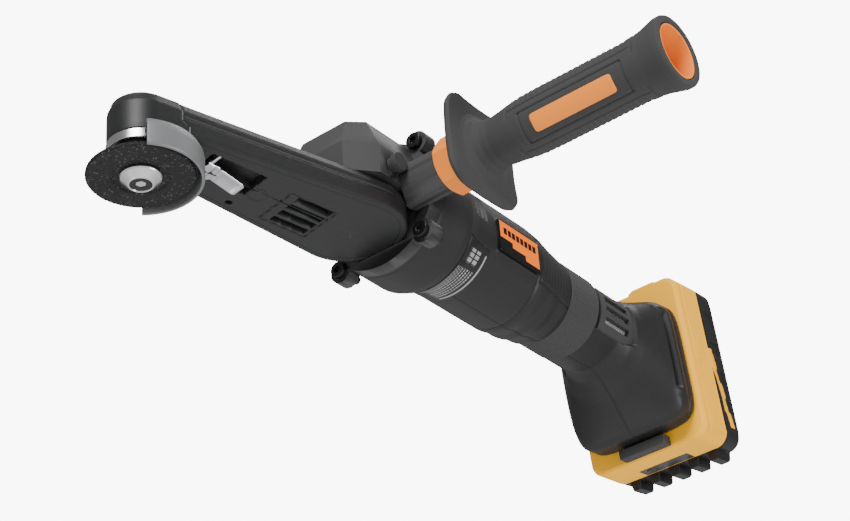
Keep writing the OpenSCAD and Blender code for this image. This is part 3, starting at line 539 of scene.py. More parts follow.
@dataclass
class MotorBody:
    """Motor housing, wrist and battery foot: one moulded skin over both halves."""

    columns: int = 320
    foot_end: float = 238.9
    face_height: float = -10.9
    slot_depth: float = 9.5
    face_rows: int = 40
    blend_reach: float = 2.2
    # distance behind the case, centre height, tilt, half width, up, down, squareness up, squareness down
    stations: tuple = (
        (21, 0, 0, 34.3, 34.3, 34.3, 2, 2), (45, 0, 0, 34.3, 34.3, 34.3, 2, 2), (47, 0, 0, 33.4, 33.6, 33.4,
                                                            2, 2),
        (58, 0, 0, 29.0, 32.0, 28, 2.2, 2), (70, 0, 0, 28, 32.4, 27.2, 2.3, 2), (111, 0.2, 0, 28.0, 32.2,
                                                            27.6, 2.3, 2),
        (120, 0.6, 0, 27.6, 30.5, 27.3, 2.3, 2), (129, 1.2, 0, 26, 27.6, 27.0, 2.3, 2.1), (142, 2, 0, 24.4,
                                                            25, 26, 2.2, 2),
        (150, 3, 0, 23.5, 23.8, 23.8, 2, 2), (195, 3, 0, 23.2, 23.2, 23.2, 2, 2), (203, 2, 1, 24.6, 23.8,
                                                            25.6, 2.1, 2.1),
        (210, -1.5, 3, 28.2, 26, 29.5, 2.6, 2.5), (217, -7.5, 5.5, 33, 31.5, 33.5, 3.6, 3.4), (222, -11.5,
                                                            7, 35.3, 35.3, 36, 5, 5),
        (226, -12.6, 7, 36, 37, 37, 6, 6), (238.9, -10.9, 7, 36, 37, 37, 6, 6))

    def build(self) -> None:
        """Lays rings along the bent centre line, presses the details in, then closes the foot's face.

        Formula: ring(s) = centre(s) + egg radius at the ring's angle, in a plane tilted as the pack is.
        The face is the last ring drawn in to its middle, pushed forwards where the rail slot is.
        """
        s = np.concatenate([np.arange(21, 200, 0.86), np.arange(200, self.foot_end, 0.72), [self.foot_end]])
        zc, tilt, wide, up, down, n_up, n_down = self._curves(s)
        angle = np.linspace(0, 2 * np.pi, self.columns, endpoint=False)[None]
        r = egg(angle, wide, up, down, n_up, n_down)
        r = r * (1 - 0.02 * (step(self.foot_end - 1.5, self.foot_end, s))[:, None])
        side, height = r * np.cos(angle), r * np.sin(angle)
        press, label = self._details(s[:, None], side, height + zc, angle)
        r = r - press
        tilt = np.radians(tilt)
        y, h = r * np.cos(angle), r * np.sin(angle)
        grid = np.stack([-s[:, None] + h * np.sin(tilt), y, zc + h * np.cos(tilt)], -1)
        f = np.linspace(0.985, 0.02, self.face_rows)[:, None]
        y2, h2 = y[-1:] * f, h[-1:] * f
        in_slot = window(np.abs(y2), -1, 28.0, 0.5) * (1 - step(32.5, 33.2, h2)) * step(-35.2, -34.8,
                                                            h2) * self.slot_depth
        face = np.stack([-self.foot_end + h2 * math.sin(TILT) + in_slot * math.cos(TILT), y2,
                         self.face_height + h2 * math.cos(TILT) - in_slot * math.sin(TILT)], -1)
        neck_end = grid[:1] * [1, 0, 0] + grid[:1] * [0, 0.93, 0.93]
        label = np.vstack([label[:1] * 0, label, np.zeros((self.face_rows, self.columns))])
        self._badge()
        self._film()
        self._sleeve()
        skin = Skin("motor_body_skin", np.concatenate([neck_end, grid, face]), TOOL, {"film": label})
        dress(skin.build(), "tool", OVERMOULD, ("housing_left", "housing_right", "housing_screws"))

    def _curves(self, s: np.ndarray) -> list:
        """Centre height, tilt, half width, up, down and both squarenesses at each distance s."""
        p = np.array(self.stations, float)
        return [smooth_curve(list(zip(p[:, 0], p[:, k])), s, self.blend_reach)[:, None] for k in range(1, 8)]

    def _ring(self, s: np.ndarray, angle: np.ndarray) -> tuple:
        """Skin radius and centre height at each distance s behind the case, before any detail."""
        zc, _, wide, up, down, n_up, n_down = self._curves(s)
        return egg(angle, wide, up, down, n_up, n_down), zc

    def _film(self) -> None:
        """Printed film: a thin patch that follows the skin, with rows of plain dashes.

        Formula: skin radius plus 0.05 mm for the lower face and 0.28 mm for the upper, met along the edges.
        """
        s = np.linspace(50.8, 70.5, 120)
        sweep = np.radians(np.linspace(250, 336, 420))[None]
        base, zc = self._ring(s, sweep)
        across = np.clip(np.minimum(np.arange(420), 419 - np.arange(420)) / 3, 0, 1)[None]
        ends = np.clip(np.minimum(np.arange(120), 119 - np.arange(120)) / 2, 0, 1)[:, None]
        outer, inner = base + 0.05 + 0.23 * np.sqrt(across * ends), base + 0.05
        r, a = np.concatenate([outer, inner[:, ::-1]], 1), np.concatenate([sweep, sweep[:, ::-1]], 1)
        grid = np.stack([-s[:, None] + 0 * r, r * np.cos(a), zc + r * np.sin(a)], -1)
        row, place = s[:, None] - 52.2, np.degrees(sweep) - 254
        words = (np.sin(place * 1.9 + 2.3 * np.floor(row / 1.9))
                 + np.sin(place * 3.7 + 1.1 * np.floor(row / 1.9)) > -0.35)
        rows = (row % 1.9 < 0.9) & (row > 0) & (row < 15.2) & (place > 0) & (place < 52) & words
        signs = (np.abs(place - 66) < 8) & (((place + 2) % 5.6) < 4.2) & (np.abs(row
                                                            - 8) < 4.5) & ((row % 4.6) < 3.6)
        bar = (row > 16.2) & (row < 17.4) & (place > 0) & (place < 74)
        mark = np.concatenate([rows | signs | bar, np.zeros_like(rows)], 1).astype(float)
        obj = Skin("rating_film", grid, TOOL, {"print": mark}).build(caps=False)
        dress(obj, "tool", FILM, ("rating_plate",))

    def _sleeve(self) -> None:
        """Grip sleeve: a ring with fine knurling, its rim rounded over.

        Formula: radius = sleeve radius - depth * (1 - |sin(a s)| |sin(b angle)|) between the rims.
        """
        low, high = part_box("grip_sleeve")
        big = (high[1] - low[1]) * 500
        x0, x1 = low[0] * 1000 + CENTRE[0], high[0] * 1000 + CENTRE[0]
        path = [(22.4, x0), (big - 0.5, x0), (big, x0 + 0.6), (big, x1 - 0.6), (big - 0.5, x1), (22.4, x1)]
        r, x, angle = revolve(path, 640, 0.35)
        knurl = 0.22 * (np.abs(np.sin(np.pi * x / 1.5)) * np.abs(np.sin(angle * 50))) ** 0.6
        r = r - (0.22 - knurl) * window(x, x0 + 1.6, x1 - 1.6, 0.4) * step(big - 0.2, big - 0.05, r)
        grid = np.stack([x + 0 * angle, r * np.cos(angle), 3 + r * np.sin(angle)], -1)
        dress(Skin("grip_sleeve_skin", grid, TOOL, ring=True).build(), "tool", GRIP, ("grip_sleeve",))

    def _badge(self) -> None:
        """Badge: a thin rounded plate whose orange field ends in steps, inside a dark border.

        Formula: rounded rectangle in length and height, rows shrinking to its middle on both faces.
        """
        f = np.concatenate([[0.02, 0.97, 0.99, 1.0, 1.0, 0.985], np.linspace(0.96, 0.02, 60)])[:, None]
        y = np.concatenate([[28.1, 28.1, 28.2, 28.35, 28.75, 28.95], np.full(60, 29.02)])[:, None]
        t = np.linspace(0, 2 * np.pi, 520, endpoint=False)[None]
        edge = rounded_rect(t, np.full_like(t, 17.7), np.full_like(t, 9.7), np.full_like(t, 1.5))
        along, height = f * edge * np.cos(t), f * edge * np.sin(t)
        stairs = -1.2 - 2.9 * (along < 6.5) - 2.9 * (along < -4.5)
        border = (np.abs(along) > 16.7) | (np.abs(height) > 8.8)
        bars = (height > 1.6) & (height < 5.6) & (np.abs(along) < 14.2) & ((along + 14.2) % 3.55 < 2.75)
        dark = ((height < stairs) | border | bars).astype(float)
        grid = np.stack([along - 93, y + 0 * t, height], -1)
        obj = Skin("badge", grid, TOOL, {"dark": dark}).build()
        dress(obj, "tool", BADGE, ("name_plate",))

    def _details(self, s: np.ndarray, y: np.ndarray, z: np.ndarray, angle: np.ndarray) -> tuple:
        """Depth pressed into the skin, in mm, and the mask of the printed film.

        Formula: sums of rounded lines and windows in length s, side y and height z.
        """
        low = step(0, 3, -z)
        press = 0.45 * line(y, 0.5) * low * step(48, 50, s)
        press = press + 0.8 * line(s - 46.3, 0.6) + 0.5 * line(s - 23, 0.5)
        plate = window(s, 74, 112, 0.8) * window(z, -11, 11, 0.8) * step(0, 2, y)
        press = press + 0.5 * plate * (1 - window(s, 76, 110, 0.6) * window(z, -9.6, 9.6, 0.6)) - 0.6 * plate
        intake = window(s, 175, 205, 0.8) * window(z, -10.2, 13.2, 0.8) * step(4, 6, np.abs(y))
        press = press + 3.4 * intake
        panel = window(s, 114, 170, 0.5) * window(z, -11, 16, 0.5) * step(4, 6, np.abs(y))
        inner = window(s, 115.5, 168.5, 0.5) * window(z, -9.5, 14.5, 0.5)
        press = press + 0.55 * panel * (1 - inner)
        ribs = 0.5 + 0.5 * np.cos(2 * np.pi * s / 3.2)
        press = press + 0.28 * ribs * window(s, 118, 168, 0.6) * window(z, -8, 13, 0.8) * step(4, 6,
                                                            np.abs(y))
        palm = window(s, 112, 152, 1.2) * step(9, 10.5, -z)
        press = press + 0.5 * (line(s - 112, 0.7) + line(s - 152, 0.7)) * step(6, 9,
                                                            -z) - 0.35 * palm * np.cos(2 * np.pi * s / 13)
        slot_side = window(s, 222.5, 227.5, 0.7) * window(z, -32, 14, 1.2) * step(30, 32, y)
        lip = window(s, 219.5, 230.5, 0.9) * window(z, -35, 17, 1.4) * step(29, 32, y)
        press = press + 3.4 * slot_side - 0.5 * lip * (1 - slot_side)
        wing = window(s, 224, 233, 0.9) * window(z, -30, 8, 1.2) * step(30, 32, -y)
        press = press + 1.2 * wing + 0.7 * line(s - 233.6, 0.5)
        rim = window(s, 49, 111, 1) * window(y, -17.5, 17.5, 0.7) * step(18, 20, z)
        press = press + 0.6 * rim * (1 - window(s, 50, 110, 1) * window(y, -16.5, 16.5, 0.7))
        vent = window(s, 52, 68, 0.5) * window(z, 4, 22, 1) * step(4, 6,
                                                            np.abs(y)) * (np.abs(np.sin(np.pi * s
                                                            / 4)) > 0.55)
        press = press + 1.4 * vent
        film = window(s, 50.5, 66, 0.2) * window(angle % (2 * np.pi), math.radians(255), math.radians(338),
                                                 0.01)
        press = press + 0.35 * film
        return press, film


@dataclass
class GearHead:
    """Gear case, long neck and disc head."""

    rear_r: float = 27.6
    front_r: float = 15.7
    columns: int = 720

    def build(self) -> None:
        """Builds the neck skin and rounds the case's own edges."""
        self._neck()
        softened("gear_case", "gear_case_skin", 1.8, "tool", CASTING)
        for name, finish, width in (("gear_case_screws", BLACK_STEEL, 0.3),
                                    ("neck_screws", BLACK_STEEL, 0.25), ("head_screws", BLACK_STEEL, 0.25)):
            softened(name, name + "_skin", width, "tool", finish)
        r, h, angle = revolve([(0.5, -29.4), (14.5, -29.4), (14.5, -34.3), (13.4, -34.6), (11, -38.0),
                               (6, -38.0), (0.5, -38.0)], 240, 0.4)
        slots = 0.9 * line((angle * 14 / np.pi + 0.5) % 1 - 0.5, 0.16) * window(h, -37.6, -35.2,
                                                            0.3) * step(9, 10, r)
        dress(Skin("nose_skin", polar(r - slots, h, angle), DISC).build(), "tool", BLACK_STEEL,
              ("spindle_nose",))

    def _neck(self) -> None:
        """Neck skin: underside from its middle line outwards, up the wall, over the chamfer, and across the top.

        Formula: point = middle(t) + f * radius(t) * outward(t), where t runs round two joined circles.
        """
        lean = math.asin((self.rear_r - self.front_r) / BELT_CENTRES)
        turn = np.pi / 2 - lean
        flat = math.sqrt(BELT_CENTRES**2 - (self.rear_r - self.front_r) ** 2)
        rear_arc, front_arc = 2 * (np.pi - turn) * self.rear_r, 2 * turn * self.front_r
        run = np.linspace(0, rear_arc + front_arc + 2 * flat, self.columns, endpoint=False)
        ends = np.cumsum([flat, front_arc, flat, rear_arc])
        k1, k2, k3 = ends[:3]
        share = np.where(run < k1, run / flat, np.where(run < k2, 1,
                                                        np.where(run < k3, 1 - (run - k2) / flat, 0)))
        theta = np.where(run < k1, -turn, np.where(run < k2, -turn + (run - k1) / self.front_r,
                         np.where(run < k3, turn, turn + (run - k3) / self.rear_r)))
        middle, radius = share * BELT_CENTRES, self.rear_r + share * (self.front_r - self.rear_r)
        path = [(0.0, -26.1), (0.955, -26.1), (0.99, -25.6), (1.0, -24.4), (1.0, -14.5), (0.995, -13.4),
                (0.90, -9.4), (0.86, -8.9), (0.0, -8.9)]
        rows = np.array(path)
        lengths = np.concatenate([[0], np.cumsum(np.hypot(np.diff(rows[:, 0]) * 24, np.diff(rows[:, 1])))])
        at = np.unique(np.concatenate([np.arange(0, 24, 0.38), np.arange(24, lengths[-2], 0.45),
                                       np.linspace(lengths[-2], lengths[-1], 12), lengths]))
        f, z = np.interp(at, lengths, rows[:, 0])[:, None], np.interp(at, lengths, rows[:, 1])[:, None]
        u = middle + f * radius * np.cos(theta)
        v = f * radius * np.sin(theta) * np.ones_like(f)
        bottom = 1 - step(-25.6, -23.0, z)
        head = step(112.2, 113.2, u)
        z = z - 3.3 * head * bottom + 0.6 * head * step(-10, -9.2, z)
        wall = window(z, -24.5, -13.5, 0.5)
        zig = 111.6 + 1.8 * np.clip((z + 20) / 1.2, -1, 1)
        inset = 0.5 * line(z + 17.2, 0.45) * wall * (1 - head) + 0.6 * line(u - zig, 0.45) * step(0.5, 0.9, f)
        u, v = u - inset * np.cos(theta), v - inset * np.sin(theta)
        panel = window(u, 15.5, 44, 0.5) * window(v, -17, 8.5, 0.5)
        inner = window(u, 16.6, 42.9, 0.5) * window(v, -15.9, 7.4, 0.5)
        slots = sum(window(u, 18.2, 37.8, 0.8) * window(v, 5.5 - 6.2 * i - 1.5, 5.5 - 6.2 * i + 1.5,
                                                        0.75) for i in range(4))
        pocket = window(u, 61.5, 92, 0.5) * window(v, -5.5, 11.5, 0.5)
        hole = 1 - step(1.3, 1.7, np.hypot(u - 63, v + 15))
        rings = sum(line(np.hypot(u - a, v - b) - 4.6, 0.4) for a, b in ((56, -2), (104, 0)))
        border = line(f * radius - radius + 3.4, 0.45) * (1 - head)
        z = z + bottom * (0.7 * panel * (1 - inner) + 3.6 * slots + 4.2 * pocket + 4 * hole + 0.4 * rings
                          + 0.35 * border)
        grid = np.stack([u, v, z + 0 * u], -1)
        obj = Skin("neck_skin", grid[1:-1], NECK).build()
        dress(obj, "tool", CASTING, ("neck_shell", "neck_cover", "head_housing"))


@dataclass
class DiscSet:
    """Abrasive disc with its flanges and bolt."""

    clamp_profile: tuple = ((3, -45.3), (9.4, -45.3), (9.7, -45.6), (9.7, -46.2), (9.3, -46.8),
                            (6.3, -49.5), (5.9, -49.8), (5.2, -49.8), (5.0, -49.3), (3, -49.2))

    def build(self) -> None:
        """Revolves each piece about the disc's axis; the disc's grains push its faces in and out."""
        rng = np.random.default_rng(11)
        r, h, angle = revolve([(0.3, -43.45), (24.2, -43.45), (24.9, -44.1), (24.9, -45.2), (24.2, -45.7),
                               (13.4, -45.7), (12.6, -44.9), (0.3, -44.9)], 360, 0.42)
        grain = rng.random((len(r), 360)) ** 2
        grain = (grain + np.roll(grain, 1, 1) + np.roll(grain, 1, 0)) / 3
        low = step(44.0, 45.6, -h) * step(11.5, 14, r)
        rim = step(24, 24.8, r)
        grid = polar(r - 0.35 * grain * rim - 0.12 * rng.random((len(r), 1)) * rim, h + 0.42 * grain * low,
                     angle)
        dress(Skin("disc_skin", grid, DISC, sharp=70).build(), "disc_drive", GRIT_BLACK, ("abrasive_disc",))
        self._turned("clamp_flange", self.clamp_profile, STEEL)
        r, h, angle = revolve([(1, -38.7), (8.5, -38.7), (8.5, -40.2), (12.0, -40.3), (12.4, -40.7),
                               (12.4, -42.9), (12.0, -43.3), (1, -43.3)], 256, 0.4)
        notch = 1.6 * window((angle * 4 / np.pi) % 1, 0.36, 0.64, 0.08) * step(10.4, 11.6, r)
        dress(Skin("backing_flange_skin", polar(r - notch, h, angle), DISC).build(), "disc_drive", STEEL,
              ("backing_flange",))

    def _turned(self, node: str, profile: list, finish: Finish) -> None:
        """Revolves one profile and closes it on its axis."""
        r, h, angle = revolve(profile, 220, 0.35)
        dress(Skin(node + "_skin", polar(r, h, angle), DISC).build(), "disc_drive", finish, (node,))


@dataclass
class Guard:
    """Sheet guard round the disc."""

    start: float = 59.5
    end: float = 233.5
    outer: tuple = ((16.2, -30.05), (21.5, -30.1), (24.6, -30.9), (26.9, -32.7), (28.1, -34.9),
                    (28.45, -37), (28.45, -46.6), (28.2, -47.1))
    inner: tuple = ((16.2, -31.6), (21.3, -31.6), (23.7, -32.2), (25.7, -33.7), (26.6, -35.3),
                    (26.9, -37.2), (26.9, -46.6), (27.1, -47.1))

    def build(self) -> None:
        """Carries the wall's outline round the disc and thins it to an edge at both ends.

        Formula: outline = middle line plus or minus half the wall, times sqrt(1 - e^2) in the last half millimetre.
        """
        outer = np.array(self.outer)
        inner = np.array(self.inner)
        k = np.linspace(0, len(outer) - 1, 46)
        o = np.stack([np.interp(k, range(len(outer)), outer[:, i]) for i in (0, 1)], -1)
        i = np.stack([np.interp(k, range(len(inner)), inner[:, j]) for j in (0, 1)], -1)
        middle, half = (o + i) / 2, (o - i) / 2
        turn = np.radians(np.concatenate([np.linspace(self.start, self.start + 1, 7)[:-1],
                                          np.arange(self.start + 1, self.end - 1,
                                                    0.6), np.linspace(self.end - 1, self.end, 7)]))
        edge = np.clip(np.minimum(turn - turn[0], turn[-1] - turn) / math.radians(1), 0, 1)
        thick = np.sqrt(1 - (1 - edge) ** 2)[:, None, None]
        loop = np.concatenate([middle[None] + thick * half[None],
                               (middle[None] - thick * half[None])[:, ::-1]], 1)
        grid = np.stack([loop[..., 0] * np.cos(turn)[:, None], loop[..., 0] * np.sin(turn)[:, None],
                         loop[..., 1]], -1)
        obj = Skin("guard_skin", grid, DISC).build(caps=False)
        dress(obj, "guard_set", GUARD_PAINT, ("guard",))
        softened("guard_band", "guard_band_skin", 0.2, "guard_set", STEEL)
        self._lever()


    def _lever(self) -> None:
        """Folded lever: a rounded hub with a dished arm that steps down and narrows to a lifted tip.

        Formula: sections across the arm are rounded bars; their width, height and middle run along it.
        """
        low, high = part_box("guard_lever")
        corners = np.array([[low[0], low[1], low[2]], [high[0], high[1], high[2]]]) * 1000 + CENTRE
        local = (corners - np.array(NECK.origin)) @ np.array(NECK_ROWS).T
        base, tip = 88.0 + 2.3, float(local[:, 0].min()) + 1.6
        k = np.concatenate([[0], np.linspace(0.004, 0.996, 120), [1]])[:, None]
        u = base + (tip - base) * k
        drop = 0.9 * step(0.30, 0.38, k) - 0.5 * step(0.78, 0.9, k)
        lowest = corners[0, 2]
        slope = (lowest + 2.0 + 24.7) * k
        middle = -24.7 + np.clip(slope, -9, 0) + 0.8 * drop * (1 - k)
        width = (5.6 - 0.9 * step(0.3, 0.38, k) - 0.8 * step(0.9, 1.0, k) ** 2) * np.sqrt(1
                                                            - (1 - np.clip(k * 30, 0, 1)) ** 2 * 0.4)
        half = (2.2 - 1.2 * step(0.14, 0.26, k)) * np.sqrt(np.clip(1 - (2 * np.clip(k - 0.5, 0, 1)) ** 40,
                                                            0.05, 1))
        t = np.linspace(0, 2 * np.pi, 120, endpoint=False)[None]
        edge = rounded_rect(t, width + 0 * t, half + 0 * t, 0.8 * half + 0 * t)
        v, h = edge * np.cos(t), edge * np.sin(t)
        dish = -0.5 * (1 - (v / width) ** 2) * step(0.42, 0.5, k) * (1 - step(0.86, 0.94, k)) * step(0, 0.6,
                                                            -h)
        grid = np.stack([u + 0 * t, v, middle + h - dish], -1)
        obj = Skin("guard_lever_skin", grid, NECK).build()
        dress(obj, "clamp_lever", CHROME, ("guard_lever",))


@dataclass
class SideHandle:
    """Side handle: hexagon nut, finger flange, grooved grip and its orange pieces."""

    flange: float = 25.8
    corner: float = 11.0
    insert_at: float = 38.0

    def build(self) -> None:
        """Revolves the grip, squares its flange, and presses in the panel grooves.

        Formula: radius = profile, except on the flange, where it is a rounded square; corners bend outwards as r squared.
        """
        path = [(2, 66.2, 0), (14, 66.2, 0), (17, 66.2, 0), (25, 66.0, 1), (25.8, 67.6, 1), (25, 69.4, 1),
                (19, 70.4, 0), (17, 71.2, 0), (14.4, 73.5, 0), (12.9, 77, 0),
                (12.4, 81, 0), (13.2, 88, 0), (14.2, 94, 0), (14.9, 101, 0), (15.1, 110, 0), (15.1, 158,
                                                            0), (15.9, 169, 0), (17.4, 175, 0),
                (18.2, 178, 0), (18.2, 180.8, 0), (17.6, 181.9, 0), (15.0, 181.9, 0), (14.4, 181.2,
                                                            0), (11.5, 150, 0), (11.3, 129, 0), (2, 129, 0)]
        p = np.array(path, float)
        run = np.concatenate([[0], np.cumsum(np.hypot(np.diff(p[:, 0]), np.diff(p[:, 1])))])
        at = np.unique(np.concatenate([np.arange(0, run[18], 0.6), np.arange(run[18], run[-1], 2.4), run]))
        r, z, w = (np.interp(at, run, p[:, k])[:, None] for k in range(3))
        angle = np.linspace(0, 2 * np.pi, 310, endpoint=False)[None]
        square = rounded_rect(angle, np.full_like(angle, self.flange), np.full_like(angle, self.flange),
                              np.full_like(angle, self.corner))
        radius = r + w * (square - self.flange)
        outside = (at[:, None] < run[18]) & (z > 80)
        away = np.abs((np.degrees(angle) - self.insert_at + 90) % 180 - 90) * math.pi / 180 * 15
        frame_line = line(away - 8.2, 0.5) * window(z, 101, 159,
                                                    0.6) + (line(z - 101, 0.5) + line(z - 159, 0.5)) * (1
                                                            - step(8, 8.6, away))
        second = line(away - 12.4, 0.5) * window(z, 95, 165, 0.6)
        cross = (line(z - 94, 0.6) + line(z - 166, 0.6)) * step(7.6, 9, away)
        ribs = (0.5 + 0.5 * np.cos(2 * np.pi * z / 3.2)) * step(13.6, 14.4, away) * window(z, 98, 162, 0.8)
        press = outside * (0.7 * frame_line + 0.6 * second + 0.6 * cross + 0.55 * ribs)
        radius = radius - press
        bend = 0.0022 * np.clip(radius - 17, 0, None) ** 2 * 10 * (z < 72)
        grid = polar(radius, z + 0.35 * bend, angle)
        obj = Skin("handle_grip_skin", grid, HANDLE).build()
        dress(obj, "side_handle", GRIP, ("handle_grip",))
        softened("handle_nut", "handle_nut_skin", 0.9, "side_handle", ORANGE)
        self._inserts()

    def _inserts(self) -> None:
        """Two crowned orange strips let into the grip: a rounded rectangle wrapped on the grip's radius."""
        for index, middle in enumerate((self.insert_at, self.insert_at + 180)):
            f = np.concatenate([np.linspace(0.02, 0.94, 26), [0.97, 0.99, 1.0, 1.0, 0.98, 0.5]])[:, None]
            lift = np.concatenate([np.full(26, 0.55), [0.5, 0.42, 0.25, -0.6, -1.0, -1.0]])[:, None]
            t = np.linspace(0, 2 * np.pi, 220, endpoint=False)[None]
            edge = rounded_rect(t, np.full_like(t, 22.9), np.full_like(t, 4.6), np.full_like(t, 1.6))
            along, across = f * edge * np.cos(t), f * edge * np.sin(t)
            a = math.radians(middle) + across / 15.1
            r = 15.1 + lift
            grid = np.stack([r * np.cos(a), r * np.sin(a), 130 + along], -1)
            obj = Skin(f"handle_insert_{index + 1}", grid, HANDLE).build()
            dress(obj, "side_handle", ORANGE, ("handle_inserts",) if index == 0 else ())


@dataclass
class BatteryPack:
    """Sliding battery pack: yellow case with a dark panel, and a ribbed dark base."""

    half_w: float = 38.6
    low: float = -55.3
    high: float = 45.8

    def build(self) -> None:
        """Lofts the case and the base along the pack's own axis."""
        self._case()
        self._base()
        softened("pack_latch", "pack_latch_skin", 0.8, "latch", PACK_BLACK)
        softened("gauge_panel", "gauge_panel_skin", 0.25, "battery", GAUGE)

    def _loft(self, stations: list, corner: float, columns: int = 400) -> tuple:
        """Rounded rectangles along the pack's axis.

        Args:
            stations: (place along the axis, half width, low end, high end).
            corner: corner radius in mm.
            columns: points round each section.

        Returns:
            Place, side and height of every point, and the angle row.
        """
        p = np.array(stations, float)
        run = np.concatenate([[0], np.cumsum(np.abs(np.diff(p, axis=0)).max(1))])
        at = np.unique(np.concatenate([np.arange(0, run[-1], 0.6), run]))
        x, w, lo, hi = (np.interp(at, run, p[:, k])[:, None] for k in range(4))
        angle = np.linspace(0, 2 * np.pi, columns, endpoint=False)[None]
        small = np.minimum(w, (hi - lo) / 2)
        r = rounded_rect(angle, w + 0 * angle, (hi - lo) / 2 + 0 * angle,
                         np.minimum(corner, 0.6 * small) + 0 * angle)
        return x + 0 * angle, r * np.cos(angle), (hi + lo) / 2 + r * np.sin(angle), angle

    def _case(self) -> None:
        """Yellow case, with pressed panel edges and the dark panel's jagged outline as a mask."""
        w, lo, hi = self.half_w, self.low, self.high
        x, y, z, angle = self._loft([(15.9, 2, -6, 2), (15.9, w - 2.0, lo + 2.0, hi - 2),
                                     (15.3, w - 0.7, lo + 0.8, hi - 0.7), (14, w, lo, hi),
                                     (-7.6, w, lo, hi), (-8.7, w - 1.0, lo + 1, hi - 1), (-9, w - 2.0,
                                                            lo + 2, hi - 2), (-9, 2, -6, 2)], 8.5)
        on_side = step(33, 35.5, np.abs(y))
        jag = 1.0 + 9.0 * step(-38, -31, z) - 11.0 * step(-12, -3, z) + 12 * step(10, 18, z) - 6 * step(33,
                                                            38, z)
        dark = (step(-0.2, 0.2, jag - x)) * on_side * window(z, -48, 41, 0.3)
        ends = step(40, 43, z)
        bump = window(np.abs(y), 10, 24, 1.2) * ends
        channel = window(y, -7, 7, 1) * ends
        groove = line(x - 9.5, 0.45) * step(34, 36, np.abs(y)) + line(x + 6.4, 0.4)
        z = z - 1.4 * channel - 0.9 * ends * (1 - bump)
        y = y * (1 - 0.5 / 38 * groove) - np.sign(y) * 0.4 * dark * 0.6
        grid = np.stack([x, y, z], -1)
        obj = Skin("pack_case_skin", grid, PACK, {"dark": dark}).build()
        dress(obj, "battery", YELLOW, ("pack_case",))
        rails = [(26.3, 2, -30, 10), (26.3, 26.6, -44, 21.4), (25.6, 27.4, -45, 22.2),
                 (22, 27.4, -45, 22.2), (21.2, 22.6, -45, 22.2), (16.0, 22.6, -45, 22.2), (15.5, 2, -30, 10)]
        x, y, z, _ = self._loft(rails, 3, 260)
        dress(Skin("pack_rail_skin", np.stack([x, y, z], -1), PACK).build(), "battery", PACK_BLACK, ())

    def _base(self) -> None:
        """Dark base: its low end is a row of ribs, and its back carries pressed bands."""
        x, y, z, angle = self._loft([(-9.2, 2, -6, 2), (-9.2, 37.6, -54.2, 44.4), (-10, 38.2, -55, 45.0),
                                     (-22.5, 38.0, -54.6, 44.6), (-26, 36.6, -51, 42.5),
                                     (-29.5, 34.8, -47, 40.5), (-31, 33.2, -45.5, 39), (-31, 2, -6, 2)], 8)
        rib = sum(window(y, c - 3, c + 3, 0.5) for c in (-26, -13, 0, 13, 26))
        end = step(40, 50, -z) * window(x, -24, -10, 0.8)
        z = z - 5.2 * rib * end
        slope = -13.5 + 0.16 * (z + 20)
        stripe = window(x, slope - 2.2, slope + 2.2, 0.3) * window(z, -44, 4, 0.4) * step(33, 35, y)
        bands = sum(window(z, c - 4, c + 4, 0.8) for c in (-30, -12, 6, 24))
        side = step(33, 36, np.abs(y)) * window(x, -21, -13, 0.8)
        y = y * (1 - 0.02 * bands * side)
        back = step(30.4, 30.9, -x) * window(y, -22, 22, 1)
        x = x + 0.7 * back * bands
        obj = Skin("pack_base_skin", np.stack([x, y, z], -1), PACK, {"stripe": stripe}).build()
        dress(obj, "battery", PACK_BASE, ("pack_base",))


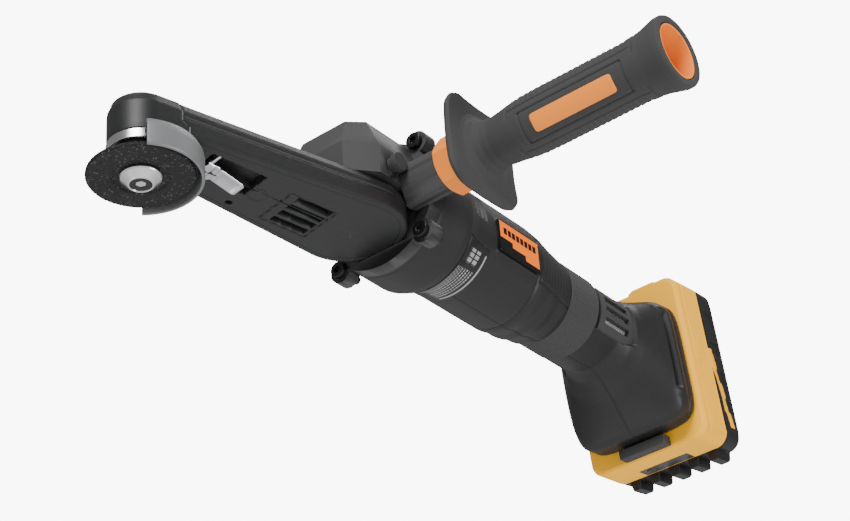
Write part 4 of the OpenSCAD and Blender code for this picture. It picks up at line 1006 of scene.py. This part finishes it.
@dataclass
class Studio:
    """Pale floor, soft lamps and the camera."""

    eye: tuple = (0.74427, 0.46660, -0.53117)
    right: tuple = (-0.6253848, 0.7774843, -0.0664228)
    up: tuple = (0.3841609, 0.3808608, 0.8410502)
    toward: tuple = (0.6792012, 0.5004630, -0.5368636)
    focal_px: float = 2115.6503
    width_px: float = 850.0
    surround: float = 0.30
    backdrop: float = 9.0

    def build(self) -> None:
        """Places the camera, three soft lamps, the white surround and the floor."""
        cam = bpy.data.cameras.new("camera")
        cam.sensor_width = 36
        cam.lens = 36 * self.focal_px / self.width_px
        cam.clip_end = 20
        obj = bpy.data.objects.new("camera", cam)
        turn = Matrix([self.right, self.up, self.toward]).transposed().to_4x4()
        obj.matrix_world = Matrix.Translation(self.eye) @ turn
        bpy.context.scene.collection.objects.link(obj)
        bpy.context.scene.camera = obj
        r, u, t = Vector(self.right), Vector(self.up), Vector(self.toward)
        self._lamp("key", 1.2 * u + 0.55 * t - 0.45 * r, 0.6, 26)
        self._lamp("fill", 0.9 * r + 0.6 * t + 0.1 * u, 0.5, 8)
        self._lamp("edge", -0.9 * t + 0.9 * u + 0.5 * r, 0.5, 5)
        self._lamp("under", -0.9 * u + 0.5 * t - 0.5 * r, 0.7, 2.5)
        world = bpy.data.worlds.new("surround")
        world.use_nodes = True
        n, l = world.node_tree.nodes, world.node_tree.links
        n["Background"].inputs["Color"].default_value = (1, 1, 1, 1)
        seen, level = n.new("ShaderNodeLightPath"), n.new("ShaderNodeMapRange")
        level.inputs["To Min"].default_value = self.surround
        level.inputs["To Max"].default_value = self.backdrop
        l.new(seen.outputs["Is Camera Ray"], level.inputs["Value"])
        l.new(level.outputs["Result"], n["Background"].inputs["Strength"])
        bpy.context.scene.world = world
        floor = bpy.data.meshes.new("floor")
        s, z = 30.0, -0.95
        floor.from_pydata([(-s, -s, z), (s, -s, z), (s, s, z), (-s, s, z)], [], [(0, 1, 2, 3)])
        floor.materials.append(FLOOR.material())
        glow = FLOOR.material().node_tree.nodes["Principled BSDF"]
        glow.inputs["Emission Color"].default_value = (1, 1, 1, 1)
        glow.inputs["Emission Strength"].default_value = 0.5
        plane = bpy.data.objects.new("floor", floor)
        bpy.context.scene.collection.objects.link(plane)

    def _lamp(self, name: str, place: Vector, size: float, power: float) -> None:
        """A square soft lamp that faces the middle of the tool."""
        lamp = bpy.data.lights.new(name, "AREA")
        lamp.size = size
        lamp.energy = power
        obj = bpy.data.objects.new(name, lamp)
        middle = Vector((0, 0, 0.055))
        obj.matrix_world = Matrix.Translation(middle + place) @ place.to_track_quat("Z",
                                                            "Y").to_matrix().to_4x4()
        bpy.context.scene.collection.objects.link(obj)


NODE_FINISH = {
    "handle_end_tube": ORANGE, "name_plate": BADGE, "intake_covers": PACK_BLACK, "intake_filters": MESH_METAL,
    "grip_sleeve": GRIP, "switch_slider": PACK_BLACK, "gauge_button": GAUGE, "lock_button": PACK_BLACK,
    "housing_screws": BLACK_STEEL, "clamp_bolt": BLACK_STEEL, "lever_pin": STEEL, "drive_belt": GRIP,
    "stator": COPPER_CORE, "rotor_core": COPPER_CORE, "cooling_fan": PACK_BLACK, "switch_body": PACK_BLACK,
    "control_module": BOARD, "terminal_block": PACK_BLACK, "pack_cells": CELL_WRAP, "front_pulley": ALLOY, "rear_pulley": ALLOY,
}


@dataclass
class Remaining:
    """Every solid that is shown as it stands."""

    rounded: tuple = (("intake_covers", 0.35, "tool", PACK_BLACK, "label_black"),
                      ("clamp_bolt", 0.3, "disc_drive", BLACK_STEEL, "dark_steel"),
                      ("handle_end_tube", 0.3, "side_handle", ORANGE, "orange_plastic"), ("switch_slider",
                                                            0.7, "switch", PACK_BLACK, "label_black"),
                      ("lock_button", 0.4, "lock", PACK_BLACK, "label_black"), ("gauge_button", 0.2,
                                                            "gauge_key", GAUGE, "gauge_grey"))

    def build(self) -> None:
        """Rounds the small visible pieces and gives every other solid its finish."""
        for node, width, body, finish, slot_name in self.rounded:
            softened(node, node + "_skin", width, body, finish)
        for name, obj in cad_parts.items():
            finish = NODE_FINISH.get(name, STEEL)
            obj.data.materials.clear()
            obj.data.materials.append(finish.material())


def main() -> None:
    """Builds every sub-assembly in order."""
    logging.basicConfig(level=logging.INFO, format="%(message)s")
    for assembly in (MotorBody(), GearHead(), DiscSet(), Guard(), SideHandle(), BatteryPack(), Remaining(),
                     Studio()):
        log.info("building %s", type(assembly).__name__)
        assembly.build()


if __name__ == "__main__":
    main()
